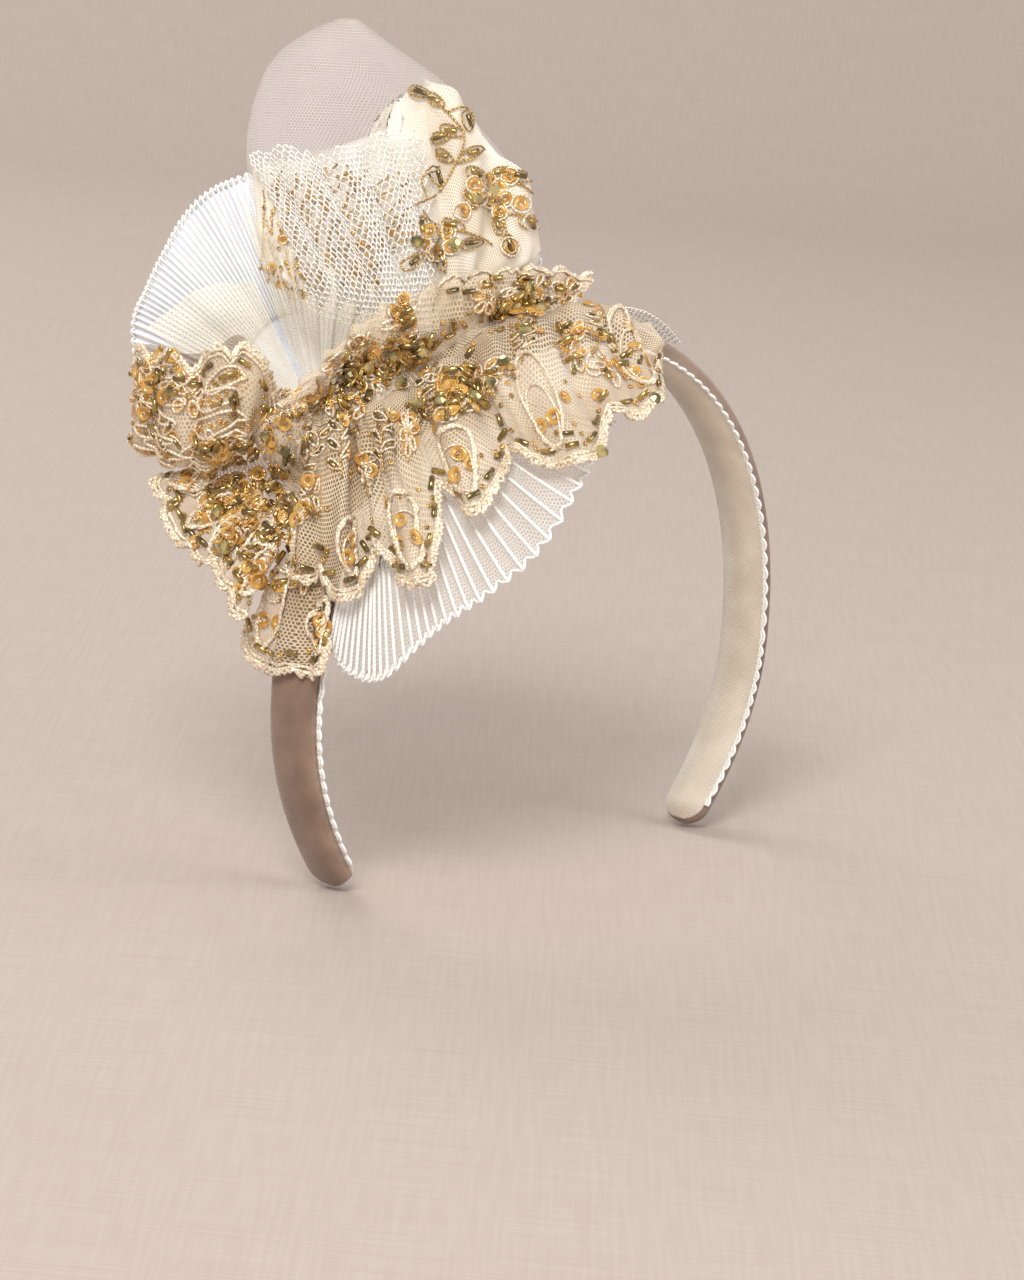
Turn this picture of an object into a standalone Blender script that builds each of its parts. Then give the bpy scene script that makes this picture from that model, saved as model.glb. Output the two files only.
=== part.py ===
"""Tulle headband: a padded band with pleated tulle fans, a standing tulle puff and beaded lace ruffles.

+Z is up, the wearer faces -Y and +X is the wearer's left. The origin is the underside of the band's crown.
Lengths are in metres.
"""
import bpy
import bmesh
import math
from collections import namedtuple
from mathutils import Matrix, Vector
from mathutils.bvhtree import BVHTree

GAP = 0.0003                    # room between pieces that touch

# The band
BAND_HALF_SPAN = 0.081          # middle plane to the widest place of the inner face
BAND_RISE = 0.086               # crown down to the widest place
BAND_SQUARENESS = 2.15          # 2 is an ellipse, more is squarer
ARM_DROP = 0.048                # widest place down to the ends
ARM_CLOSE = 0.019               # how far each end turns in
ARM_FROM = 0.70                 # share of the half band where the arm starts
BAND_THICK = 0.0047
BAND_CROWN_WIDTH = 0.017
BAND_END_WIDTH = 0.0135
LINING_THICK = 0.001
LINING_LIP = 0.0012             # the facing's white edge, in front of the band
BAND_STATIONS = 42
BAND_TOP = LINING_THICK + GAP + BAND_THICK

# The dome that the headband is shaped to
DOME_HALF_WIDTH = 0.079
DOME_HALF_LENGTH = 0.100
DOME_HALF_HEIGHT = 0.087
DOME_BACK = 0.0104              # dome's centre behind the band's crown
DOME_BELOW = 0.0879             # dome's centre below the band's crown
DOME_TILT = math.radians(7.0)

# Cloth
CLOTH = 0.001
SEWN = 0.00055                  # a sheet's middle to what its edge is sewn on
ORNAMENT_SLANT = math.radians(45.0)     # the ornament faces the wearer's front right

# The knot where the cloth is gathered
GATHER_SIDE = -0.0540           # where the fans and ruffles are drawn together
GATHER_UP = -0.0190
GATHER_OUT = 0.0380
KNOT_SIDE = -0.0575
KNOT_UP = -0.0225
KNOT_OUT = 0.0400
KNOT_HALF_SIDE = 0.0175
KNOT_HALF_UP = 0.0115
KNOT_HALF_OUT = 0.0160
KNOT_GATHERS = 14
KNOT_RIB = 0.05                 # how far a gather stands out, share of the half size

# The pleated fans
REAR_FAN_RADIUS = 0.082
REAR_FAN_PLEATS = 42
REAR_FAN_BOW = 0.006
FRONT_FAN_WIDTH = 0.072
FRONT_FAN_DROP = 0.080
FRONT_FAN_PLEATS = 24
FRONT_FAN_LIFT = 0.0030
PLEAT_DEPTH = 0.0016
FAN_CLOTH = 0.0012
FAN_CLEAR = 0.0130              # ribs that end nearer than this to the band's middle plane stand over its edge
FAN_BOW = 0.0030
SHOULDER = 0.0045               # how far each side of the band the front fan is held clear of its edge

# The puff
PUFF_WIDTH = 0.082
PUFF_HEIGHT = 0.0865
PUFF_DEPTH = 0.024
PUFF_YAW = math.radians(20.6)
PUFF_LEAN = math.radians(16.0)
PUFF_BASE_SIDE = -0.0460
PUFF_BASE_UP = -0.0065
PUFF_BASE_OUT = 0.0077
PUFF_FORWARD = 0.022            # how far the foot is drawn forward to the band
VEIL_STANDOFF = 0.0030

# The lace
FRILL_WIDTH = 0.092
FRILL_HEIGHT = 0.075
FRILL_LIFT = 0.010
CREST_WIDTH = 0.080
CREST_HEIGHT = 0.040
CREST_STAND = 0.012
CREST_ROLL = 0.004
ROLL_LENGTH = 0.050
ROLL_RADIUS = 0.0145
ROLL_FLAT = 0.72                # the roll's depth as a share of its height
DRAPE_REACH = 0.052
TAIL_WIDTH = 0.0225
TAIL_LENGTH = 0.058
TAIL_STAND = 0.0026
NET_EDGE_WIDTH = 0.014

# The crystals
CRYSTAL_WIDTH = 0.0036
CRYSTAL_HEIGHT = 0.0029
CRYSTAL_TABLE = 0.0017
CRYSTAL_SIDES = 8
CRYSTAL_SLACK = 0.0002          # how much nearer than its clearance a stone may stay
ORNAMENT_SPAN = FRILL_WIDTH / 0.92   # the length that the stones' places are shares of

SIDE = Vector((math.cos(ORNAMENT_SLANT), -math.sin(ORNAMENT_SLANT), 0.0))
OUT = Vector((-math.sin(ORNAMENT_SLANT), -math.cos(ORNAMENT_SLANT), 0.0))
UP = Vector((0.0, 0.0, 1.0))


# Places

def place(side, up, out):
    """A point from its side, up and out in the ornament's own directions."""
    return SIDE * side + UP * up + OUT * out


def band_curve(share):
    """Place and outward direction on the band's inner curve, from -1 at the wearer's right end to 1 at the left."""
    run = abs(share)
    if run < ARM_FROM:
        turn = run / ARM_FROM * math.pi / 2
        power = 2 / BAND_SQUARENESS
        x = BAND_HALF_SPAN * math.sin(turn) ** power
        z = BAND_RISE * (math.cos(turn) ** power - 1)
        out_x = math.sin(turn) ** (2 - power) / BAND_HALF_SPAN
        out_z = math.cos(turn) ** (2 - power) / BAND_RISE
    else:
        along = (run - ARM_FROM) / (1 - ARM_FROM)
        x = BAND_HALF_SPAN - ARM_CLOSE * along ** 2
        z = -BAND_RISE - ARM_DROP * along
        out_x = ARM_DROP
        out_z = -2 * ARM_CLOSE * along
    outward = Vector((math.copysign(out_x, share), 0.0, out_z)).normalized()
    return Vector((math.copysign(x, share), 0.0, z)), outward


def band_width(share):
    return BAND_CROWN_WIDTH + (BAND_END_WIDTH - BAND_CROWN_WIDTH) * abs(share)


def on_band(share, across, lift):
    """A point over the band's outer face: across is -1 at its front edge and 1 at its rear edge."""
    point, outward = band_curve(share)
    shift = Vector((0.0, across * band_width(share) / 2, 0.0))
    return point + outward * (BAND_TOP + lift) + shift


def dome_out(side, up, lift):
    """How far out the dome, grown by lift, is met at a side and up place."""
    turn = Matrix.Rotation(DOME_TILT, 3, "X")
    grown = (DOME_HALF_WIDTH + lift, DOME_HALF_LENGTH + lift, DOME_HALF_HEIGHT + lift)
    start = turn @ (place(side, up, 0.0) - Vector((0.0, DOME_BACK, -DOME_BELOW)))
    ray = turn @ OUT
    start = Vector(start[i] / grown[i] for i in range(3))
    ray = Vector(ray[i] / grown[i] for i in range(3))
    middle = start.dot(ray)
    under = max(middle ** 2 - ray.dot(ray) * (start.dot(start) - 1), 0.0)
    return (-middle + math.sqrt(under)) / ray.dot(ray)


def on_dome(side, up, lift):
    return place(side, up, dome_out(side, up, lift))


KNOT = place(KNOT_SIDE, KNOT_UP, KNOT_OUT)
GATHER = place(GATHER_SIDE, GATHER_UP, GATHER_OUT)
DOME_CENTRE = Vector((0.0, DOME_BACK, -DOME_BELOW))


def on_knot(towards, lift=GAP + CLOTH / 2):
    """The place over the knot's face in the direction of a point."""
    ray = (towards - KNOT).normalized()
    halves = (KNOT_HALF_SIDE, KNOT_HALF_UP, KNOT_HALF_OUT)
    shares = [ray.dot(axis) / half for axis, half in zip((SIDE, UP, OUT), halves)]
    face = (1 + KNOT_RIB) / math.sqrt(sum(share ** 2 for share in shares))
    return KNOT + ray * (face + lift)


def rest_on(point, trees, lift=GAP + CLOTH / 2):
    """The point let down to lift over the pieces that it stands on, or left where none lies below."""
    above = 0.03
    hits = [tree.ray_cast(point + UP * above, -UP, 2 * above)[0] for tree in trees]
    heights = [hit.z for hit in hits if hit]
    return Vector((point.x, point.y, max(heights) + lift)) if heights else point


def seated(point, seat, reach=0.004):
    """The point drawn to its seat where the seat is near, with the sewing gap left between them."""
    near = seat.find_nearest(point, reach)[0] if seat else None
    return near + (point - near).normalized() * SEWN if near else point


def raised(point, trees, lift):
    """The point moved out from the dome's centre until it stands lift over the pieces beneath it."""
    ray = (point - DOME_CENTRE).normalized()
    reach = (point - DOME_CENTRE).length
    above = 0.015
    for tree in trees:
        hit = tree.ray_cast(DOME_CENTRE + ray * (reach + above), -ray, 1.6 * above)[0]
        if hit:
            reach = max(reach, (hit - DOME_CENTRE).length + lift)
    return DOME_CENTRE + ray * reach


def smooth(values, share):
    """Catmull-Rom through evenly spaced values, share from 0 to 1."""
    spans = len(values) - 1
    at = min(max(share, 0.0), 1.0) * spans
    i = min(int(at), spans - 1)
    t = at - i
    p1, p2 = values[i], values[i + 1]
    p0 = values[i - 1] if i > 0 else p1 * 2 - p2
    p3 = values[i + 2] if i + 2 <= spans else p2 * 2 - p1
    return (p1 * 2 + (p2 - p0) * t + (p0 * 2 - p1 * 5 + p2 * 4 - p3) * t ** 2
            + (p1 * 3 - p0 - p2 * 3 + p3) * t ** 3) * 0.5


# Meshes and materials

def material(name, colour, roughness, metallic=0.0):
    mat = bpy.data.materials.new(name)
    mat.use_nodes = True
    shader = mat.node_tree.nodes["Principled BSDF"]
    shader.inputs["Base Color"].default_value = (*colour, 1.0)
    shader.inputs["Roughness"].default_value = roughness
    shader.inputs["Metallic"].default_value = metallic
    return mat


def grid_mesh(name, rows, wrap=False):
    """A mesh of the points in rows, joined by four-sided faces; wrap closes each row on itself."""
    mesh = bpy.data.meshes.new(name)
    count = len(rows[0])
    points = [point for row in rows for point in row]
    faces = []
    for i in range(len(rows) - 1):
        for j in range(count if wrap else count - 1):
            k = (j + 1) % count
            faces.append((i * count + j, i * count + k, (i + 1) * count + k, (i + 1) * count + j))
    mesh.from_pydata(points, [], faces)
    return mesh


def slab_mesh(name, rows, thickness):
    """A closed slab either side of a grid, each half of it moved along the grid's smoothed normals."""
    ribs, rings = len(rows), len(rows[0])
    sides = [[], []]
    for i in range(ribs):
        for j in range(rings):
            wide = rows[min(i + 4, ribs - 1)][j] - rows[max(i - 4, 0)][j]
            long = rows[i][min(j + 1, rings - 1)] - rows[i][max(j - 1, 0)]
            normal = wide.cross(long).normalized() * thickness / 2
            sides[0].append(rows[i][j] + normal)
            sides[1].append(rows[i][j] - normal)
    count = ribs * rings
    faces = []
    for i in range(ribs - 1):
        for j in range(rings - 1):
            corner = [i * rings + j, i * rings + j + 1, (i + 1) * rings + j + 1, (i + 1) * rings + j]
            faces.append(corner)
            faces.append([k + count for k in reversed(corner)])
    edge = [i * rings for i in range(ribs)] + [(ribs - 1) * rings + j for j in range(1, rings)]
    edge += [i * rings + rings - 1 for i in range(ribs - 2, -1, -1)] + list(range(rings - 2, 0, -1))
    for a, b in zip(edge, edge[1:] + edge[:1]):
        faces.append([a, b, b + count, a + count])
    mesh = bpy.data.meshes.new(name)
    mesh.from_pydata(sides[0] + sides[1], [], faces)
    outward_faces(mesh)
    return mesh


def outward_faces(mesh):
    bm = bmesh.new()
    bm.from_mesh(mesh)
    bmesh.ops.recalc_face_normals(bm, faces=bm.faces)
    bm.to_mesh(mesh)
    bm.free()


def add_object(name, mesh, collection, mat=None):
    obj = bpy.data.objects.new(name, mesh)
    collection.objects.link(obj)
    if mat:
        obj.data.materials.append(mat)
    return obj


def applied(obj):
    """The object with its modifiers applied."""
    bpy.context.view_layer.update()
    evaluated = obj.evaluated_get(bpy.context.evaluated_depsgraph_get())
    mesh = bpy.data.meshes.new_from_object(evaluated)
    obj.modifiers.clear()
    obj.data = mesh
    return obj


def thickened(obj, offset=0.0):
    """The cloth given its thickness, its faces turned outwards."""
    wall = obj.modifiers.new("wall", "SOLIDIFY")
    wall.thickness = CLOTH
    wall.offset = offset
    applied(obj)
    outward_faces(obj.data)
    return obj


def tree_of(obj):
    return BVHTree.FromObject(obj, bpy.context.evaluated_depsgraph_get())


def sheet(name, ribs, across, along, collection, mat, over=(), lift=0.0013, seat=None):
    """Cloth through ribs of control points, smoothed both ways, kept over the pieces beneath and thickened."""
    rows = []
    for i in range(across + 1):
        rib = [smooth([r[k] for r in ribs], i / across) for k in range(len(ribs[0]))]
        row = [smooth(rib, j / along) for j in range(along + 1)]
        start = seated(raised(row[0], over, GAP + CLOTH / 2), seat)
        rows.append([start] + [raised(point, over, lift) for point in row[1:]])
    obj = add_object(name, grid_mesh(name, rows), collection, mat)
    thickened(obj)
    obj.data.shade_smooth()
    return obj


# The band and its lining

BandPoint = namedtuple("BandPoint", "across lift")
BAND_SECTION = [                # shares of the band's width and thickness
    BandPoint(-0.500, 0.00),
    BandPoint(-0.500, 0.40),
    BandPoint(-0.400, 0.76),
    BandPoint(-0.200, 0.95),
    BandPoint(0.000, 1.00),
    BandPoint(0.200, 0.95),
    BandPoint(0.400, 0.76),
    BandPoint(0.500, 0.40),
    BandPoint(0.500, 0.00),
]
END_ROUND = 0.975               # share of the half band where its round end starts
END_STEPS = 4


def end_share(share):
    """How much of its width the band keeps near its round ends."""
    run = max(abs(share) - END_ROUND, 0.0) / (1 - END_ROUND)
    return math.sqrt(max(1 - (0.93 * run) ** 2, 0.0))


def band_stations():
    half = BAND_STATIONS // 2
    plain = [END_ROUND * i / half for i in range(-half, half + 1)]
    turns = [math.sin(math.pi / 2 * i / END_STEPS) for i in range(1, END_STEPS + 1)]
    round_end = [END_ROUND + (1 - END_ROUND) * turn for turn in turns]
    return [-share for share in reversed(round_end)] + plain + round_end


def band_loft(name, section, collection, mat):
    """A closed loft; section gives the cross-section's (y, lift) points at a share of the band."""
    rows = []
    for share in band_stations():
        point, outward = band_curve(share)
        rows.append([point + outward * lift + Vector((0.0, y, 0.0)) for y, lift in section(share)])
    mesh = grid_mesh(name, rows, wrap=True)
    bm = bmesh.new()
    bm.from_mesh(mesh)
    bmesh.ops.holes_fill(bm, edges=[edge for edge in bm.edges if edge.is_boundary])
    bmesh.ops.recalc_face_normals(bm, faces=bm.faces)
    bm.to_mesh(mesh)
    bm.free()
    return add_object(name, mesh, collection, mat)


def cover_section(share):
    keep = end_share(share)
    width, thick = band_width(share) * keep, BAND_THICK * (0.4 + 0.6 * keep)
    base = LINING_THICK + GAP
    return [(p.across * width, base + p.lift * thick) for p in BAND_SECTION]


def lining_section(share):
    half = band_width(share) / 2 * end_share(share)
    front, rear = -half - LINING_LIP, half - LINING_LIP / 2
    return [(front, 0.0), (front, LINING_THICK), (rear, LINING_THICK), (rear, 0.0)]


def grown_band_section(share):
    """The band and lining together, grown by the gap, to cut back what sits on them."""
    width = band_width(share) + 2 * GAP
    top = LINING_THICK + GAP
    return [(-width / 2, -GAP)] + [(p.across * width, top + GAP + p.lift * BAND_THICK) for p in BAND_SECTION] + [
        (width / 2, -GAP)]


def shoulder_section(share):
    """The band widened at its foot, as the surface that the front fan runs over."""
    half = band_width(share) / 2 + SHOULDER
    top = LINING_THICK + GAP
    middle = [(p.across * band_width(share), top + p.lift * BAND_THICK) for p in BAND_SECTION[1:-1]]
    return [(-half, 0.0), (-half, top)] + middle + [(half, top), (half, 0.0)]


def build_band(parts, cutters, mats):
    cover = band_loft("band", cover_section, parts, mats["cover"])
    cover.data.shade_smooth()
    cover.data.set_sharp_from_angle(angle=math.radians(40))
    band_loft("band_lining", lining_section, parts, mats["lining"])
    guides = [band_loft("grown_band", grown_band_section, cutters, None),
              band_loft("band_shoulder", shoulder_section, cutters, None)]
    return cover, guides


# The knot

def build_knot(parts, mats, grown_band):
    """A gathered pad: a sphere drawn out to its three half sizes, ribbed all round and seated on the band."""
    bm = bmesh.new()
    bmesh.ops.create_uvsphere(bm, u_segments=2 * KNOT_GATHERS, v_segments=10, radius=1.0)
    for vert in bm.verts:
        around = math.atan2(vert.co.y, vert.co.x)
        rib = 1.0 + KNOT_RIB * math.cos(KNOT_GATHERS * around) * (1 - vert.co.z ** 2)
        vert.co = KNOT + place(vert.co.x * rib * KNOT_HALF_SIDE,
                               vert.co.z * KNOT_HALF_UP,
                               vert.co.y * rib * KNOT_HALF_OUT)
    bmesh.ops.recalc_face_normals(bm, faces=bm.faces)
    mesh = bpy.data.meshes.new("knot")
    bm.to_mesh(mesh)
    bm.free()
    knot = add_object("knot", mesh, parts, mats["lace"])
    cut = knot.modifiers.new("cut", "BOOLEAN")
    cut.operation = "DIFFERENCE"
    cut.object = grown_band
    applied(knot)
    knot.data.shade_smooth()
    return knot


# The pleated fans

RearRim = namedtuple("RearRim", "turn lean reach")
REAR_RIM = [                    # degrees round from the side, degrees leant back, share of the radius
    RearRim(191, 32, 0.69),
    RearRim(179, 32, 0.76),
    RearRim(165, 31, 0.825),
    RearRim(156, 33, 0.850),
    RearRim(147, 36, 0.900),
    RearRim(138, 39, 0.970),
    RearRim(129, 41, 1.010),
    RearRim(120, 43, 1.020),
    RearRim(102, 46, 1.030),
    RearRim(81, 48, 1.050),
    RearRim(58, 48, 1.080),
    RearRim(33, 48, 1.090),
]
FrontRim = namedtuple("FrontRim", "side up lift")
FRONT_RIM = [                   # shares of the fan's width, of its drop and of its lift over the dome
    FrontRim(-0.705, -0.880, 1.9),
    FrontRim(-0.655, -0.945, 1.8),
    FrontRim(-0.575, -0.968, 1.6),
    FrontRim(-0.500, -0.945, 1.4),
    FrontRim(-0.405, -0.845, 1.2),
    FrontRim(-0.310, -0.755, 1.0),
    FrontRim(-0.180, -0.660, 1.0),
    FrontRim(-0.020, -0.520, 1.0),
    FrontRim(0.100, -0.335, 1.0),
    FrontRim(0.160, -0.225, 1.0),
    FrontRim(0.205, -0.160, 1.0),
]
FAN_RINGS = 3
FAN_FLAT = 0.60                 # share of a rib over which the pleats rise to their full depth


def pleated(name, rim, foot, pleats, surface, collection, mat, over=(), seat=None):
    """A pleated fan: ribs from foot(share) to rim(share), every other one raised by the pleat's depth."""
    ribs = 2 * pleats
    rows = []
    for i in range(ribs + 1):
        share = i / ribs
        start, end = foot(share), rim(share)
        nearby = rim(min(share + 0.01, 1.0)) - rim(max(share - 0.01, 0.0))
        normal = (end - start).cross(nearby).normalized()
        row = []
        for j in range(FAN_RINGS + 1):
            run = j / FAN_RINGS
            rise = (0.5 if i % 2 else -0.5) * PLEAT_DEPTH * min(run / FAN_FLAT, 1.0)
            clear = GAP + FAN_CLOTH / 2 + abs(rise)
            row.append(raised(surface(start, end, run), over, clear) + normal * rise)
        row[0] = seated(row[0], seat)
        rows.append(row)
    return add_object(name, slab_mesh(name, rows, FAN_CLOTH), collection, mat)


def fan_arm(turn, lean, reach):
    """A rear fan's arm: degrees round from the side, degrees leant back, and its length."""
    turn, lean = math.radians(turn), math.radians(lean)
    flat = reach * math.cos(lean)
    return place(flat * math.cos(turn), flat * math.sin(turn), -reach * math.sin(lean))


def build_rear_fan(parts, mats, knot):
    behind = place(0.0, 0.35 * KNOT_HALF_UP, -KNOT_HALF_OUT)

    def rim(share):
        turn, lean, reach = [smooth([row[k] for row in REAR_RIM], share) for k in range(3)]
        return GATHER + fan_arm(turn, lean, reach * REAR_FAN_RADIUS)

    def foot(share):
        ray = (rim(share) - GATHER).normalized() + behind.normalized() * 0.8
        return on_knot(KNOT + ray)

    def surface(start, end, run):
        return start.lerp(end, run) - OUT * REAR_FAN_BOW * 4 * run * (1 - run)

    return pleated("rear_fan", rim, foot, REAR_FAN_PLEATS, surface, parts, mats["white"], seat=knot)


def build_front_fan(parts, mats, band):
    def rim(share):
        side, up, lift = [smooth([row[k] for row in FRONT_RIM], share) for k in range(3)]
        return on_dome(side * FRONT_FAN_WIDTH, up * FRONT_FAN_DROP, lift * FRONT_FAN_LIFT)

    def foot(share):
        return on_band(-0.42 + 0.16 * share, -0.76, 2.5 * GAP + FAN_CLOTH / 2)

    def surface(start, end, run):
        chord = start.lerp(end, run)
        side, up, out = chord.dot(SIDE), chord.dot(UP), chord.dot(OUT)
        low = dome_out(side, up, FRONT_FAN_LIFT)
        ends = (dome_out(end.dot(SIDE), end.dot(UP), FRONT_FAN_LIFT) - end.dot(OUT)) * run
        wraps = min(max(-end.y / FAN_CLEAR - 0.8, 0.0), 1.0)
        lying = (low - ends - out) * min(run * 2.0, 1.0)
        return place(side, up, out + lying * wraps + FAN_BOW * 4 * run * (1 - run) * (1 - wraps))

    return pleated("front_fan", rim, foot, FRONT_FAN_PLEATS, surface, parts, mats["white"], [band])


# The puff and the two layers in front of it

PuffRow = namedtuple("PuffRow", "up left right depth forward")
PUFF_ROWS = [                   # shares of the puff's height, width, depth and forward draw, from its foot up
    PuffRow(0.00, -0.12, 0.10, 0.30, 1.00),
    PuffRow(0.07, -0.19, 0.20, 0.50, 0.93),
    PuffRow(0.13, -0.330, 0.34, 0.65, 0.85),
    PuffRow(0.20, -0.430, 0.47, 0.80, 0.72),
    PuffRow(0.30, -0.440, 0.550, 0.92, 0.52),
    PuffRow(0.44, -0.440, 0.512, 0.92, 0.30),
    PuffRow(0.57, -0.435, 0.460, 0.80, 0.12),
    PuffRow(0.65, -0.425, 0.390, 0.70, 0.04),
    PuffRow(0.74, -0.400, 0.310, 0.56, 0.00),
    PuffRow(0.83, -0.365, 0.230, 0.42, 0.00),
    PuffRow(0.90, -0.310, 0.110, 0.30, 0.00),
    PuffRow(0.96, -0.215, 0.010, 0.19, 0.00),
    PuffRow(1.00, -0.120, -0.050, 0.10, 0.00),
]
PUFF_STEPS = 22
PUFF_BACK_SHARE = 0.55          # share of its depth that lies behind the puff's middle
PUFF_ROUND = 0.9                # power of the section's curve: 1 is an ellipse
PUFF_FOOT = place(PUFF_BASE_SIDE, PUFF_BASE_UP, PUFF_BASE_OUT)


def in_puff(across, height, forward):
    """A point from its place across, up and forward of the puff's own leaning plane."""
    ahead = forward * math.cos(PUFF_LEAN) - height * math.sin(PUFF_LEAN)
    rise = height * math.cos(PUFF_LEAN) + forward * math.sin(PUFF_LEAN)
    return PUFF_FOOT + place(across * math.cos(PUFF_YAW) + ahead * math.sin(PUFF_YAW),
                             rise,
                             ahead * math.cos(PUFF_YAW) - across * math.sin(PUFF_YAW))


def puff_row(height):
    """The puff's left, right, depth and forward draw at a share of its height."""
    for low, high in zip(PUFF_ROWS, PUFF_ROWS[1:]):
        if height <= high.up:
            break
    t = (height - low.up) / (high.up - low.up)
    return [low[k] + (high[k] - low[k]) * t for k in range(1, 5)]


def drawn_forward(forward, across):
    """The draw forward at a share of the width: whole at the foot, none where the puff stands behind the band."""
    return forward * PUFF_FORWARD * min(max(1 - (across - 0.05) / 0.50, 0.0), 1.0)


def puff_front(across, height):
    """How far the puff's front stands forward at shares of its width and height."""
    left, right, depth, forward = puff_row(height)
    middle, half = (left + right) / 2, (right - left) / 2
    inside = max(1 - (abs(across - middle) / half) ** (2 / PUFF_ROUND), 0.0) ** (PUFF_ROUND / 2)
    return inside * depth * PUFF_DEPTH * (1 - PUFF_BACK_SHARE) + drawn_forward(forward, across)


def build_puff(parts, mats, trees):
    rows = []
    for row in PUFF_ROWS:
        middle = (row.left + row.right) / 2 * PUFF_WIDTH
        half = (row.right - row.left) / 2 * PUFF_WIDTH
        ring = []
        for j in range(PUFF_STEPS):
            turn = 2 * math.pi * j / PUFF_STEPS
            across = math.copysign(abs(math.cos(turn)) ** PUFF_ROUND, math.cos(turn))
            depth = math.copysign(abs(math.sin(turn)) ** PUFF_ROUND, math.sin(turn))
            share = PUFF_BACK_SHARE if depth < 0 else 1 - PUFF_BACK_SHARE
            wide = middle + half * across
            ahead = depth * share * row.depth * PUFF_DEPTH + drawn_forward(row.forward, wide / PUFF_WIDTH)
            point = in_puff(wide, row.up * PUFF_HEIGHT, ahead)
            if row is PUFF_ROWS[0]:
                point = rest_on(point, trees)
            ring.append(raised(point, trees, 4.5 * GAP) if row.up < 0.25 else point)
        rows.append(ring)
    mesh = grid_mesh("puff", rows, wrap=True)
    bm = bmesh.new()
    bm.from_mesh(mesh)
    bm.verts.ensure_lookup_table()
    top = (len(rows) - 1) * PUFF_STEPS
    for j in range(PUFF_STEPS // 2):
        ring = [j, j + 1, (PUFF_STEPS - j - 1) % PUFF_STEPS, (PUFF_STEPS - j) % PUFF_STEPS]
        bm.faces.new([bm.verts[top + k] for k in dict.fromkeys(ring)])
    bmesh.ops.recalc_face_normals(bm, faces=bm.faces)
    bm.to_mesh(mesh)
    bm.free()
    puff = thickened(add_object("puff", mesh, parts, mats["ivory"]), offset=-1.0)
    puff.data.shade_smooth()
    return puff


LayerRow = namedtuple("LayerRow", "foot_across foot_up top_across top_up")
VEIL_ROWS = [                   # shares of the puff's width and height, left to right
    LayerRow(-0.25, 0.07, -0.425, 0.560),
    LayerRow(-0.15, 0.05, -0.330, 0.575),
    LayerRow(-0.08, 0.04, -0.200, 0.580),
    LayerRow(-0.01, 0.03, -0.070, 0.630),
    LayerRow(0.06, 0.03, 0.100, 0.670),
]
SPRIG_ROWS = [
    LayerRow(0.10, 0.05, 0.140, 0.840),
    LayerRow(0.13, 0.06, 0.205, 0.790),
    LayerRow(0.17, 0.08, 0.265, 0.730),
    LayerRow(0.21, 0.10, 0.335, 0.650),
    LayerRow(0.26, 0.13, 0.420, 0.560),
    LayerRow(0.31, 0.17, 0.480, 0.440),
    LayerRow(0.38, 0.22, 0.515, 0.320),
]
LAYER_STEPS = 7


def puff_layer(name, table, parts, mat, trees):
    """A layer of net that follows the puff's front at its standoff, its foot let down to the band."""
    ribs = []
    for row in table:
        rib = []
        for j in range(LAYER_STEPS + 1):
            t = j / LAYER_STEPS
            across = row.foot_across + (row.top_across - row.foot_across) * t
            height = row.foot_up + (row.top_up - row.foot_up) * t
            stand = GAP + CLOTH + VEIL_STANDOFF * min(t * 2.0, 1.0)
            forward = puff_front(across, height) + stand
            rib.append(in_puff(across * PUFF_WIDTH, height * PUFF_HEIGHT, forward))
        ribs.append(rib)
    return sheet(name, ribs, 8, 10, parts, mat, trees)


# The lace

FrillRow = namedtuple("FrillRow", "seat crest_side crest_up ahead belly hem_side hem_up lift")
FRILL_ROWS = [      # seat: share of the band, or 0 on the knot; sides and ups: shares of the frill's width and
                    # height; ahead, belly and lift: shares of the frill's lift, at the fold, middle and hem
    FrillRow(0.000, -0.685, -0.275, 0.5, 1.6, -0.697, -0.620, 1.35),
    FrillRow(0.000, -0.655, -0.245, 0.4, 2.0, -0.665, -0.725, 1.25),
    FrillRow(0.000, -0.620, -0.225, 0.5, 2.0, -0.590, -0.795, 1.15),
    FrillRow(0.000, -0.570, -0.185, 0.6, 1.7, -0.500, -0.755, 1.10),
    FrillRow(0.000, -0.540, -0.175, 0.8, 1.2, -0.425, -0.665, 0.80),
    FrillRow(0.000, -0.510, -0.165, 0.8, 1.6, -0.365, -0.690, 1.10),
    FrillRow(0.000, -0.465, -0.150, 0.8, 1.6, -0.292, -0.650, 1.10),
    FrillRow(0.000, -0.430, -0.130, 0.7, 1.2, -0.275, -0.430, 0.85),
    FrillRow(-0.270, -0.345, -0.055, 0.8, 1.4, -0.188, -0.445, 0.95),
    FrillRow(-0.230, -0.260, 0.010, 0.8, 1.1, -0.090, -0.285, 0.78),
    FrillRow(-0.170, -0.190, 0.062, 0.8, 1.4, -0.030, -0.285, 0.85),
    FrillRow(-0.090, -0.100, 0.108, 0.8, 1.4, 0.108, -0.260, 0.85),
    FrillRow(-0.020, 0.000, 0.130, 0.8, 1.1, 0.162, -0.168, 0.70),
    FrillRow(0.050, 0.105, 0.133, 0.8, 1.0, 0.235, -0.135, 0.65),
    FrillRow(0.110, 0.180, 0.105, 0.8, 0.8, 0.285, -0.080, 0.60),
    FrillRow(0.170, 0.250, 0.055, 0.8, 0.6, 0.283, -0.020, 0.50),
]
FRILL_SEAT = -0.25              # where the frill is sewn across the band
BELLY_AT = 0.36                 # shares of the way from the fold to the hem
SWEEP_AT = 0.70


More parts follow.
